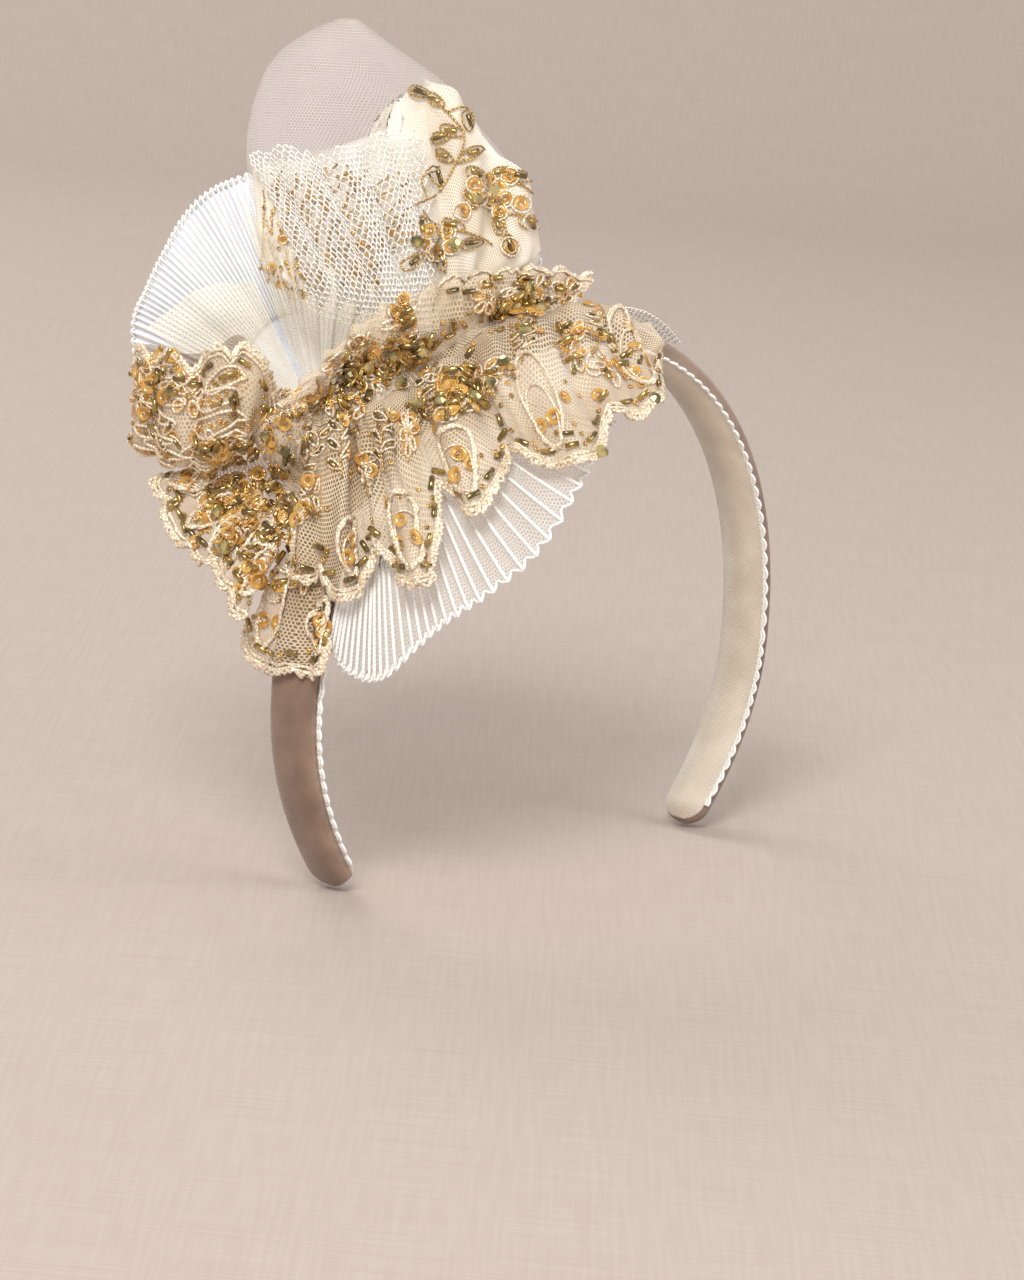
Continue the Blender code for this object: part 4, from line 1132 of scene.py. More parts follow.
@dataclass
class Band:
    """The covered band, its facing and the facing's white picot edge."""

    thick: float = 0.0047
    under: float = 0.0013
    facing: float = 0.0010
    lip: float = 0.0012
    stations: int = 220
    round_from: float = 0.975
    loops: int = 1100

    def keep(self, share: float) -> float:
        """How much of its width the band keeps near its round ends."""
        run = max(abs(share) - self.round_from, 0.0) / (1 - self.round_from)
        return math.sqrt(max(1 - (0.93 * run) ** 2, 0.0))

    def loft(self, name: str, section: Callable[[float], list[Uv]]) -> bpy.types.Mesh:
        """A closed loft along the band.

        Args:
            name: The mesh's name.
            section: Its across and lift places at a share of the band.

        Returns:
            The mesh.
        """
        half = self.stations // 2
        shares = [self.round_from * i / half for i in range(-half, half + 1)]
        ends = [self.round_from + (1 - self.round_from) * math.sin(math.pi / 2 * k / 8) for k in range(1, 9)]
        shares = [-s for s in reversed(ends)] + shares + ends
        points, uvs, faces, run, last = [], [], [], 0.0, None
        for share in shares:
            point, outward = band_curve(share)
            run += (point - last).length if last else 0.0
            last = point
            for y, lift in section(share):
                points.append(point + outward * lift + Vector((0.0, y, 0.0)))
                uvs.append((run, y + lift))
        count = len(section(0.0))
        for i in range(len(shares) - 1):
            for j in range(count):
                k = (j + 1) % count
                faces.append((i * count + j, i * count + k, (i + 1) * count + k, (i + 1) * count + j))
        faces.append(tuple(reversed(range(count))))
        faces.append(tuple((len(shares) - 1) * count + j for j in range(count)))
        mesh = mesh_of(name, points, faces, uvs)
        bm = bmesh.new()
        bm.from_mesh(mesh)
        bmesh.ops.recalc_face_normals(bm, faces=bm.faces)
        bm.to_mesh(mesh)
        bm.free()
        return mesh

    def cover_section(self, share: float) -> list[Uv]:
        """The padded cover's section: flat below, crowned above.

        Args:
            share: Where along the band.

        Returns:
            Its across and lift places.
        """
        keep = self.keep(share)
        half, thick = band_width(share) / 2 * keep, self.thick * (0.4 + 0.6 * keep)
        ring = [(-half, self.under)]
        for k in range(17):
            turn = math.pi * k / 16
            x, y = -math.cos(turn), math.sin(turn)
            ring.append((half * math.copysign(abs(x) ** 0.75, x), self.under + thick * y ** 0.62))
        ring.append((half, self.under))
        return ring

    def facing_section(self, share: float) -> list[Uv]:
        """The facing's thin section.

        Args:
            share: Where along the band.

        Returns:
            Its across and lift places.
        """
        half = band_width(share) / 2 * self.keep(share)
        rear = half - 0.0006
        return [(-half, 0.0), (-half, self.facing), (rear, self.facing), (rear, 0.0)]

    def picot(self) -> bpy.types.Mesh:
        """The white looped edge that shows in front of the band.

        Returns:
            Its mesh.
        """
        points, faces, uvs, line, normals = [], [], [], [], []
        for k in range(self.loops + 1):
            share = -0.972 + 1.944 * k / self.loops
            point, outward = band_curve(share)
            wave = abs(math.sin(k * math.pi / 12.0))
            y = -band_width(share) / 2 - self.lip * (0.25 + 0.75 * wave)
            line.append(point + outward * (0.0006 + 0.0002 * wave) + Vector((0.0, y, 0.0)))
            normals.append(outward)
        sweep(line, normals, 0.00042, points, faces, uvs, 5)
        inner = [p + Vector((0.0, 0.0009, 0.0)) for p in line]
        sweep(inner, normals, 0.0004, points, faces, uvs, 5)
        return mesh_of("picot", points, faces, uvs)

    def build(self) -> None:
        """Makes the band's three pieces."""
        piece("band_cover", self.loft("cover", self.cover_section), "band_twill", "band")
        piece("band_facing", self.loft("facing", self.facing_section), "facing", "band_lining")
        edge = piece("picot_edge", self.picot(), "white_thread")


# The fans

@dataclass(frozen=True)
class FanMake:
    """How a fan is pleated and edged, and what carries it."""

    look: str
    rests_on: str
    pleats: int
    notch: float
    ridge_from: float
    ridge: float
    rim: float

    def edge(self, u: float) -> float:
        """How far down the cloth its toothed rim is."""
        tooth = (u * self.pleats) % 1.0
        return 1.0 - self.notch * min(tooth, 1 - tooth) * 2


@dataclass
class Fans:
    """The pleated rear and front fans and the plain cloth between fan and puff."""

    rear_make: FanMake = FanMake("white_net", "knot", 66, 0.030, 0.35, 0.00030, 0.00035)
    front_make: FanMake = FanMake("fan_net", "band", 36, 0.050, 0.20, 0.00046, 0.0004)

    rear_rim: tuple = (
        (191, 32, 0.69), (179, 32, 0.76), (165, 31, 0.825), (156, 33, 0.850), (147, 36, 0.900),
        (138, 39, 0.970), (129, 41, 1.010), (120, 43, 1.020), (102, 46, 1.030), (81, 48, 1.050),
        (58, 48, 1.080), (33, 48, 1.090))
    front_rim: tuple = (
        (-0.705, -0.880, 1.9), (-0.655, -0.945, 1.8), (-0.575, -0.968, 1.6), (-0.500, -0.945, 1.4),
        (-0.405, -0.845, 1.2), (-0.310, -0.755, 1.0), (-0.180, -0.660, 1.0), (-0.020, -0.520, 1.0),
        (0.100, -0.335, 1.0), (0.160, -0.225, 1.0), (0.205, -0.160, 1.0))
    under_arms: tuple = (
        (163, 22, 0.70), (152, 26, 0.68), (140, 28, 0.67), (128, 29, 0.66))
    radius: float = 0.082
    depth: float = 0.0015
    front_side: float = 0.072
    front_up: float = 0.080
    front_lift: float = 0.0030
    rear_sag: float = 0.006

    def arm(self, turn: float, lean: float, reach: float) -> Vector:
        """A rear fan's arm: degrees round from the side, degrees leant back, and its length.

        Args:
            turn: Degrees round from the side.
            lean: Degrees leant back.
            reach: The length.

        Returns:
            The arm, from the fan's foot.
        """
        turn, lean = math.radians(turn), math.radians(lean)
        flat = reach * math.cos(lean)
        return place(flat * math.cos(turn), flat * math.sin(turn), -reach * math.sin(lean))

    def rear(self) -> Surface:
        """The rear fan's surface without its pleats.

        Returns:
            The surface.
        """
        behind = place(0.0, 0.004, -0.016).normalized() * 0.8
        rows = []
        for i in range(337):
            turn, lean, reach = [smooth([row[k] for row in self.rear_rim], i / 336) for k in range(3)]
            end = GATHER + self.arm(turn, lean, reach * self.radius)
            start = on_knot(KNOT + (end - GATHER).normalized() + behind)
            rows.append([start.lerp(end, t) - OUT * self.rear_sag * 4 * t * (1 - t)
                         for t in [j / 14 for j in range(15)]])
        return Surface("rear_fan", rows, 0.42, 0.075).turned()

    def front(self) -> Surface:
        """The front fan's surface without its pleats.

        Returns:
            The surface.
        """
        tree = tree_of("front_fan")
        rows = []
        for i in range(193):
            share = i / 192
            side, up, lift = [smooth([row[k] for row in self.front_rim], share) for k in range(3)]
            end = on_dome(side * self.front_side, up * self.front_up, lift * self.front_lift)
            start = on_band(-0.42 + 0.16 * share, -0.76, 0.00135)
            row = []
            for j in range(17):
                run = j / 16
                chord = start.lerp(end, run)
                low = dome_out(chord.dot(SIDE), chord.z, self.front_lift)
                ends = (dome_out(end.dot(SIDE), end.z, self.front_lift) - end.dot(OUT)) * run
                wraps = min(max(-end.y / 0.013 - 0.8, 0.0), 1.0)
                shift = (low - ends - chord.dot(OUT)) * min(run * 2.0, 1.0) * wraps
                point = chord + OUT * (shift + 0.003 * 4 * run * (1 - run) * (1 - wraps))
                near, _, _, gap = tree.find_nearest(point)
                row.append(near if gap > 0.0012 else point)
            rows.append(row)
        return Surface("front_fan", rows, 0.26, 0.062).turned()

    def pleated(self, flat: Surface, pleats: float) -> Surface:
        """The surface thrown into pleats that deepen towards the rim.

        Args:
            flat: The surface without pleats.
            pleats: How many pleats.

        Returns:
            The pleated surface.
        """
        rows = []
        for i, row in enumerate(flat.rows):
            u = i / (len(flat.rows) - 1)
            saw = abs((u * pleats) % 1.0 * 2 - 1) * 2 - 1
            fresh = []
            for j, point in enumerate(row):
                v = j / (len(row) - 1)
                rise = saw * self.depth / 2 * min(v / 0.5, 1.0)
                fresh.append(point + flat.frame(u, v)[3] * rise)
            rows.append(fresh)
        return Surface(flat.name, rows, flat.width, flat.length, flat.face)

    def fan(self, flat: Surface, make: FanMake, work: Beadwork) -> None:
        """Makes one fan: its net, a thread along the top of each pleat and one round the rim.

        Args:
            flat: Its surface without pleats, named as its CAD node.
            make: How it is pleated and edged.
            work: Takes the threads.
        """
        cloth = self.pleated(flat, make.pleats)
        sheet(f"{flat.name}_net", cloth, make.look, flat.name, make.edge)
        draw = Embroidery(cloth, work, 0.0)
        for k in range(make.pleats + 1):
            u = k / make.pleats
            draw.line([(u, make.ridge_from), (u, 0.6), (u, 1.0)], "white_thread", make.ridge, 0.003)
        steps = len(flat.rows) - 1
        rim = [(k / steps, make.edge(k / steps)) for k in range(steps + 1)]
        draw.line(rim, "white_thread", make.rim, 0.0009)

    def build(self) -> None:
        """Makes the fans and the net over the rear one's foot."""
        work = Beadwork("fans")
        self.fan(self.rear(), self.rear_make, work)
        self.fan(self.front(), self.front_make, work)
        ribs = []
        for turn, lean, reach in self.under_arms:
            end = GATHER + self.arm(turn, lean, reach * self.radius)
            start = on_knot(end)
            ribs.append([start, start.lerp(end, 0.5), end])
        under = RibCloth("fan_underlay", "fan_underlay", ribs, 30, 16, 2.0, 0.0008).surface()
        sheet("fan_underlay_net", under, "underlay_net", "fan_underlay",
              lambda u: 1.0 - 0.24 * u * u)
        work.finish()


# The puff and the layers in front of it

@dataclass
class Puff:
    """The standing puff: sheer tulle over an ivory layer, a coarse veil, and the sprigged panel."""

    rows: tuple = (
        (0.00, -0.12, 0.10, 0.30, 1.00), (0.07, -0.19, 0.20, 0.50, 0.93), (0.13, -0.330, 0.34, 0.65, 0.85),
        (0.20, -0.430, 0.47, 0.80, 0.72), (0.30, -0.440, 0.550, 0.92, 0.52),
        (0.44, -0.440, 0.512, 0.92, 0.30), (0.57, -0.435, 0.460, 0.80, 0.12),
        (0.65, -0.425, 0.390, 0.70, 0.04), (0.74, -0.400, 0.310, 0.56, 0.00),
        (0.83, -0.365, 0.230, 0.42, 0.00), (0.90, -0.310, 0.110, 0.30, 0.00),
        (0.96, -0.215, 0.010, 0.19, 0.00), (1.00, -0.120, -0.050, 0.10, 0.00))
    width: float = 0.082
    height: float = 0.0865
    depth: float = 0.024
    forward: float = 0.022
    lean: float = math.radians(16.0)
    yaw: float = math.radians(20.6)
    foot: tuple = (-0.0460, -0.0065, 0.0077)
    steps: int = 120
    deep: int = 56
    veil_ribs: tuple = (
        (-0.32, 0.10, -0.450, 0.560), (-0.18, 0.05, -0.360, 0.590), (-0.08, 0.04, -0.200, 0.580),
        (-0.01, 0.03, -0.070, 0.630), (0.06, 0.03, 0.100, 0.670))
    panel_ribs: tuple = (
        (0.10, 0.05, 0.140, 0.840), (0.13, 0.06, 0.205, 0.790), (0.17, 0.08, 0.265, 0.730),
        (0.21, 0.10, 0.335, 0.650), (0.26, 0.13, 0.420, 0.560), (0.31, 0.17, 0.480, 0.440),
        (0.38, 0.22, 0.515, 0.320))
    gather_tops: tuple = (
        (-0.50, 0.42), (-0.43, 0.34), (-0.34, 0.26), (-0.22, 0.20), (-0.10, 0.17), (0.02, 0.15))

    def inside(self, across: float, height: float, ahead: float) -> Vector:
        """A point from its place across, up and forward of the puff's own leaning plane.

        Args:
            across: The place across.
            height: The place up.
            ahead: The place forward.

        Returns:
            The point.
        """
        front = ahead * math.cos(self.lean) - height * math.sin(self.lean)
        rise = height * math.cos(self.lean) + ahead * math.sin(self.lean)
        side = across * math.cos(self.yaw) + front * math.sin(self.yaw)
        out = front * math.cos(self.yaw) - across * math.sin(self.yaw)
        return place(*self.foot) + place(side, rise, out)

    def on_front(self, across: float, height: float, stand: float, capped: float | None = None) -> Vector:
        """A point that stands off the puff's front, its depth taken no further left than a cap."""
        depth = self.front(across if capped is None else max(across, capped), height)
        return self.inside(across * self.width, height * self.height, depth + stand)

    def row(self, height: float) -> list[float]:
        """Left, right, depth and forward draw at a share of the height.

        Args:
            height: The share of the height.

        Returns:
            The four values.
        """
        for low, high in zip(self.rows, self.rows[1:]):
            if height <= high[0]:
                break
        t = (height - low[0]) / (high[0] - low[0])
        return [low[k] + (high[k] - low[k]) * t for k in range(1, 5)]

    def drawn(self, forward: float, across: float) -> float:
        """The draw forward at a share of the width."""
        return forward * self.forward * min(max(1 - (across - 0.05) / 0.50, 0.0), 1.0)

    def front(self, across: float, height: float) -> float:
        """How far the puff's front stands forward.

        Args:
            across: The share of the width.
            height: The share of the height.

        Returns:
            The distance.
        """
        left, right, depth, forward = self.row(height)
        middle, half = (left + right) / 2, (right - left) / 2
        inside = max(1 - (abs(across - middle) / half) ** (2 / 0.9), 0.0) ** 0.45
        return inside * depth * self.depth * 0.45 + self.drawn(forward, across)

    def shell(self, shrink: float, top: Callable[[float], float], wrinkle: float, name: str) -> Surface:
        """The puff's wall as one surface round it.

        Args:
            shrink: How far inside the CAD wall it lies, in metres.
            top: The share of the height that it reaches at each share of the width.
            wrinkle: The depth of its gathers.
            name: The surface's name.

        Returns:
            The surface, from the foot up.
        """
        tree = tree_of("puff")
        grid = []
        for i in range(self.steps + 1):
            turn = math.tau * (i % self.steps) / self.steps - math.pi / 2
            wide = math.copysign(abs(math.cos(turn)) ** 0.9, math.cos(turn))
            thick = math.copysign(abs(math.sin(turn)) ** 0.9, math.sin(turn))
            row = []
            for j in range(self.deep + 1):
                left, right = self.row(j / self.deep)[:2]
                height = j / self.deep * top((left + right) / 2 + (right - left) / 2 * wide)
                left, right, depth, forward = self.row(height)
                across = (left + right) / 2 + (right - left) / 2 * wide
                share = 0.55 if thick < 0 else 0.45
                ahead = thick * share * depth * self.depth + self.drawn(forward, across)
                point = self.inside(across * self.width, height * self.height, ahead)
                near, _, _, gap = tree.find_nearest(point)
                point = near if gap > 0.0008 else point
                heart = self.inside((left + right) / 2 * self.width, height * self.height,
                                    self.drawn(forward, 0.0) * 0.6)
                inward = heart - point
                gathers = math.sin(turn * 17 + 2 * math.sin(3 * turn)) + 0.6 * math.sin(turn * 31)
                fold = wrinkle * (1 - height) ** 1.5 * gathers
                fold += wrinkle * 0.35 * math.sin(turn * 7 + height * 9)
                if inward.length > 1e-6:
                    move = min(shrink + max(fold, -shrink) * min(j / 6, 1.0), inward.length * 0.8)
                    point = point + inward.normalized() * move
                row.append(point)
            grid.append(row)
        return Surface(name, grid, 0.17, 0.095).turned()

    def top_line(self, across: float) -> float:
        """How high the ivory layer reaches: low at the left, up the right side."""
        t = min(max((across + 0.13) / 0.11, 0.0), 1.0)
        return 0.55 + 0.29 * t * t * (3 - 2 * t)

    def layer(self, name: str, table: tuple, folds: float) -> Surface:
        """A layer of net in front of the puff.

        Args:
            name: The layer's name, as its CAD node.
            table: Each rib's foot and top, as shares across and up.
            folds: How many folds it has.

        Returns:
            Its surface.
        """
        ribs = []
        for foot_across, foot_up, top_across, top_up in table:
            rib = []
            for j in range(8):
                t = j / 7
                across = foot_across + (top_across - foot_across) * t
                height = foot_up + (top_up - foot_up) * t
                stand = 0.0013 + 0.0030 * min(t * 2.0, 1.0)
                rib.append(self.on_front(across, height, stand))
            ribs.append(rib)
        return RibCloth(name, name, ribs, 60, 60, folds, 0.0016, False).surface()

    def build(self) -> list[Surface]:
        """Makes the puff and its layers.

        Returns:
            The surfaces that beads are sewn to.
        """
        sheer = self.shell(0.0003, lambda across: 1.0, 0.0006, "puff_sheer")
        sheet("puff_sheer", sheer, "sheer_net", "puff")
        ivory = self.shell(0.0016, self.top_line, 0.0012, "puff_ivory")
        sheet("puff_ivory", ivory, "ivory_net")
        veil = self.layer("veil", self.veil_ribs, 4.0)
        panel = self.layer("sprig_panel", self.panel_ribs, 2.0)
        piece("veil_threads", net_mesh(veil, 0.0019, 0.00021, 5), "net_thread", "veil")
        sheet("sprig_net", panel, "panel_net", "sprig_panel")
        ribs = []
        for across, height in self.gather_tops:
            end = self.on_front(across, height, 0.0015, -0.40)
            start = on_knot(end)
            ribs.append([start, start.lerp(end, 0.5) + OUT * 0.002, end])
        foot = RibCloth("puff_gathers", "puff", ribs, 90, 16, 9.0, 0.0011, False).surface()
        sheet("puff_gathers", foot, "underlay_net")
        return [veil, panel, sheer]


# The lace

@dataclass(frozen=True)
class Scallop:
    """A scalloped hem: where its lobes meet, how deep they are cut."""

    edges: tuple[float, ...]
    deep: float
    end_share: float = 1.0

    def at(self, u: float) -> float:
        """How far down the cloth the hem is.

        Args:
            u: How far along.

        Returns:
            The share of its length.
        """
        for low, high in zip(self.edges, self.edges[1:]):
            if u <= high:
                break
        share = min(max((u - low) / (high - low), 0.0), 1.0)
        deep = self.deep * (1 + (self.end_share - 1) * u)
        return 1.0 - deep * (1 - math.sin(math.pi * share) ** 0.6)


@dataclass(frozen=True)
class Trim:
    """What is sewn to one lace cloth."""

    hem: Scallop
    flowers: tuple[Uv, ...]
    sprays: tuple[tuple[float, float, float, float, int], ...]
    seeds: int
    low: float = 0.0
    strewn_to: float = 0.86
    petals: bool = True


@dataclass
class Lace:
    """The gathered lace: frill, crest, roll, drape, tail, knot and the net edge."""

    frill_rows: tuple = (
        (0.000, -0.685, -0.275, 0.5, 1.6, -0.697, -0.620, 1.35),
        (0.000, -0.655, -0.245, 0.4, 2.0, -0.665, -0.725, 1.25),
        (0.000, -0.620, -0.225, 0.5, 2.0, -0.590, -0.795, 1.15),
        (0.000, -0.570, -0.185, 0.6, 1.7, -0.500, -0.755, 1.10),
        (0.000, -0.540, -0.175, 0.8, 1.2, -0.425, -0.665, 0.80),
        (0.000, -0.510, -0.165, 0.8, 1.6, -0.365, -0.690, 1.10),
        (0.000, -0.465, -0.150, 0.8, 1.6, -0.292, -0.650, 1.10),
        (0.000, -0.430, -0.130, 0.7, 1.2, -0.275, -0.430, 0.85),
        (-0.270, -0.345, -0.055, 0.8, 1.4, -0.188, -0.445, 0.95),
        (-0.230, -0.260, 0.010, 0.8, 1.1, -0.090, -0.285, 0.78),
        (-0.170, -0.190, 0.062, 0.8, 1.4, -0.030, -0.285, 0.85),
        (-0.090, -0.100, 0.108, 0.8, 1.4, 0.108, -0.260, 0.85),
        (-0.020, 0.000, 0.130, 0.8, 1.1, 0.162, -0.168, 0.70),
        (0.050, 0.105, 0.133, 0.8, 1.0, 0.235, -0.135, 0.65),
        (0.110, 0.180, 0.105, 0.8, 0.8, 0.285, -0.080, 0.60),
        (0.170, 0.250, 0.055, 0.8, 0.6, 0.283, -0.020, 0.50))
    crest_rows: tuple = (
        (0.000, -0.790, -0.300, -0.880, -0.380, 0.3), (0.000, -0.740, -0.120, -0.800, -0.180, 0.3),
        (0.000, -0.670, 0.060, -0.700, 0.060, 0.3), (0.000, -0.570, 0.160, -0.580, 0.280, 0.35),
        (-0.260, -0.440, 0.160, -0.460, 0.370, 0.40), (-0.190, -0.330, 0.220, -0.350, 0.430, 0.35),
        (-0.120, -0.200, 0.260, -0.210, 0.450, 0.0), (-0.050, -0.080, 0.260, -0.070, 0.430, -0.25),
        (0.010, 0.030, 0.230, 0.080, 0.360, -0.3))
    roll_rows: tuple = (
        (-0.36, 0.04, 0.12, 0.45), (-0.50, 0.12, 0.12, 1.06), (-0.66, 0.03, 0.06, 1.04),
        (-0.82, 0.00, -0.04, 1.00), (-0.98, 0.02, -0.20, 0.95), (-1.06, 0.04, -0.32, 0.72))
    drape_rows: tuple = (
        (-0.88, -0.36, -0.14, 0.02), (-0.86, -0.46, -0.08, 0.10), (-0.74, -0.64, 0.09, 0.02),
        (-0.63, -0.71, 0.19, 0.12), (-0.53, -0.73, 0.28, 0.02), (-0.45, -0.85, 0.38, 0.12),
        (-0.38, -0.95, 0.48, 0.03))
    tail_rows: tuple = (
        (-0.50, -0.88, 0.7), (-0.40, -0.97, 1.1), (-0.08, -1.00, 0.9), (0.28, -0.98, 1.1),
        (0.42, -0.93, 1.0), (0.46, -0.82, 1.0))
    strip_rows: tuple = (
        (0.085, 0.0, 0.28), (0.115, -0.1, 0.36), (0.150, -0.15, 0.38), (0.185, -0.25, 0.30),
        (0.220, -0.30, 0.18))
    frill_trim: Trim = Trim(
        Scallop((0.0, 0.13, 0.267, 0.467, 0.60, 0.80, 1.0), 0.20, 0.35),
        ((0.10, 0.52), (0.27, 0.50), (0.45, 0.46), (0.62, 0.44), (0.80, 0.40), (0.92, 0.40)),
        ((0.06, 0.50, -1.3, 0.014, 3), (0.18, 0.48, -1.7, 0.014, 3), (0.35, 0.50, -1.4, 0.016, 3),
         (0.54, 0.42, -1.8, 0.016, 3), (0.70, 0.42, -1.2, 0.016, 3), (0.86, 0.42, -1.7, 0.014, 3)), 90)
    crest_trim: Trim = Trim(
        Scallop(tuple(k / 9 for k in range(10)), 0.12),
        ((0.20, 0.40), (0.30, 0.42), (0.70, 0.60), (0.84, 0.62), (0.95, 0.6)),
        ((0.40, 0.5, -0.3, 0.012, 2), (0.86, 0.46, -0.3, 0.014, 3)), 60, 0.58, 0.5, False)
    roll_trim: Trim = Trim(
        Scallop((0.0, 0.25, 0.5, 0.75, 1.0), 0.06),
        ((0.80, 0.86), (0.5, 0.88)), ((0.85, 0.74, 3.0, 0.016, 3),), 110, petals=False)
    drape_trim: Trim = Trim(
        Scallop((0.0, 0.2, 0.42, 0.62, 0.82, 1.0), 0.10),
        ((0.20, 0.5), (0.55, 0.48), (0.85, 0.5)),
        ((0.35, 0.5, -1.4, 0.012, 2), (0.70, 0.5, -1.5, 0.012, 2)), 110)
    tail_trim: Trim = Trim(
        Scallop((0.0, 0.5, 1.0), 0.06), ((0.5, 0.40),), ((0.4, 0.3, -1.5, 0.010, 2),), 26)
    side_span: float = 0.092
    up_span: float = 0.075
    stand: float = 0.010
    crest_side: float = 0.080
    crest_up: float = 0.040
    crest_stand: float = 0.012
    roll_span: float = 0.050
    roll_radius: float = 0.0145
    drape_span: float = 0.052
    tail_foot: Uv = (-0.0620, -0.0225)
    tail_side: float = 0.0225
    tail_up: float = 0.058
    strip_rise: float = 0.014

    def frill(self) -> Surface:
        """The frill that falls forward over the front fan.

        Returns:
            Its surface.
        """
        ribs = []
        for seat, crest_side, crest_up, ahead, belly, hem_side, hem_up, lift in self.frill_rows:
            crest_side, hem_side = crest_side * self.side_span, hem_side * self.side_span
            crest_up, hem_up = crest_up * self.up_span, hem_up * self.up_span
            crest = place(crest_side, crest_up, -crest_side + ahead * self.stand)
            start = on_band(seat, -0.25, 0.0008) if seat else on_knot(crest)
            upper, lower = [place(crest_side * (1 - t) + hem_side * t, crest_up * (1 - t) + hem_up * t, 0.0)
                            for t in (0.36, 0.70)]
            out = dome_out(upper.dot(SIDE), upper.z, belly * self.stand)
            upper += OUT * max(out, (out + crest.dot(OUT)) / 2)
            lower += OUT * dome_out(lower.dot(SIDE), lower.z, (belly + lift) / 2 * self.stand)
            ribs.append([start, crest, upper, lower, on_dome(hem_side, hem_up, lift * self.stand)])
        return RibCloth("lace_frill", "lace_frill", ribs, 300, 60, 11.0, 0.0015).surface()

    def crest(self) -> Surface:
        """The crest that stands behind the frill.

        Returns:
            Its surface.
        """
        ribs = []
        for seat, mid_side, mid_up, top_side, top_up, stand in self.crest_rows:
            mid, top = [place(side * self.crest_side, up * self.crest_up,
                              -side * self.crest_side + stand * self.crest_stand)
                        for side, up in ((mid_side, mid_up), (top_side, top_up))]
            start = on_band(seat, 0.15, 0.0008) if seat else on_knot(mid)
            ribs.append([start, start.lerp(mid, 0.6), mid, top, top - OUT * 0.004])
        return RibCloth("lace_crest", "lace_crest", ribs, 200, 30, 13.0, 0.0008).surface()

    def roll(self) -> Surface:
        """The rolled lace at the left.

        Returns:
            Its surface.
        """
        ribs = []
        for number, (side, up, out, radius) in enumerate(self.roll_rows):
            centre = GATHER + place(side, up, out) * self.roll_span
            rib = []
            for j in range(9):
                turn = math.radians(88 + 330 * j / 8)
                flare = 0.26 * max(j / 8 - 0.84, 0.0) / 0.16
                reach = radius * self.roll_radius * (0.93 - 0.05 * math.sin(math.pi * j / 8) + flare)
                rise = reach * math.sin(turn) * (1.18 if math.sin(turn) < 0 else 1.0)
                point = centre + place(0.0, rise, 0.72 * reach * math.cos(turn))
                rib.append(on_knot(point) if number == 0 else point)
            ribs.append(rib)
        cloth = RibCloth("lace_roll", "lace_roll", ribs, 90, 110, 4.0, 0.0009, False).surface()
        middle = GATHER + place(-0.041, 0.0, -0.002)
        point, _, _, normal = cloth.frame(0.6, 0.3)
        if normal.dot(point - middle) < 0:
            cloth.face = -cloth.face
        return cloth

    def drape(self) -> Surface:
        """The drape under the roll.

        Returns:
            Its surface.
        """
        ribs = []
        for side, up, out, fold in self.drape_rows:
            hem = GATHER + place(side, up, out) * self.drape_span
            start = on_knot(hem - UP * 0.0052)
            bulge = OUT * fold * self.drape_span
            ribs.append([start, start.lerp(hem, 0.35) + bulge, start.lerp(hem, 0.72) + bulge * 0.7, hem])
        return RibCloth("lace_drape", "lace_drape", ribs, 130, 40, 6.0, 0.0008).surface()

    def tail(self) -> Surface:
        """The tail that lies over the band.

        Returns:
            Its surface.
        """
        ribs = []
        for side, up, stand in self.tail_rows:
            lift = BAND_TOP + 0.0026 * stand
            foot_side, foot_up = self.tail_foot
            hem = on_dome(foot_side + side * self.tail_side, foot_up + up * self.tail_up, lift)
            top = on_knot(hem + OUT * 0.02 + SIDE * 0.012)
            rib = []
            for t in (0.0, 0.3, 0.55, 0.8, 1.0):
                a, b, c = [top.dot(axis) * (1 - t) + hem.dot(axis) * t for axis in (SIDE, UP, OUT)]
                rib.append(place(a, b, max(c, dome_out(a, b, lift)) if 0 < t < 1 else c))
            ribs.append(rib)
        return RibCloth("lace_tail", "lace_tail", ribs, 60, 50, 3.0, 0.0006).surface()

    def strip(self) -> Surface:
        """The coarse net strip over the band, behind the frill's right end.

        Returns:
            Its surface.
        """
        ribs = []
        for seat, front, rise in self.strip_rows:
            rise *= self.strip_rise
            ribs.append([on_band(seat, 0.50, 0.0004), on_band(seat, 0.35, rise * 0.6),
                         on_band(seat, front + 0.20, rise * 0.95), on_band(seat, front, rise)])
        return RibCloth("net_edge", "net_edge", ribs, 40, 14).surface()

    def knot(self) -> bpy.types.Mesh:
        """The gathered knot, puckered all round.

        Returns:
            Its mesh.
        """
        bpy.ops.object.select_all(action="DESELECT")
        bpy.ops.mesh.primitive_uv_sphere_add(segments=96, ring_count=32, radius=1.0)
        obj = bpy.context.object
        for vert in obj.data.vertices:
            around = math.atan2(vert.co.y, vert.co.x)
            rib = 0.97 + 0.05 * math.cos(14 * around + 2 * vert.co.z) * (1 - vert.co.z ** 2)
            rib += 0.02 * math.sin(33 * around)
            wide, high, deep = KNOT_HALVES
            vert.co = KNOT + place(vert.co.x * rib * wide, vert.co.z * high, vert.co.y * rib * deep)
        points = [v.co.copy() for v in obj.data.vertices]
        faces = [tuple(p.vertices) for p in obj.data.polygons]
        bpy.data.objects.remove(obj, do_unlink=True)
        uvs = [((p - KNOT).dot(SIDE), (p - KNOT).dot(UP) + (p - KNOT).dot(OUT)) for p in points]
        return mesh_of("knot", points, faces, uvs)

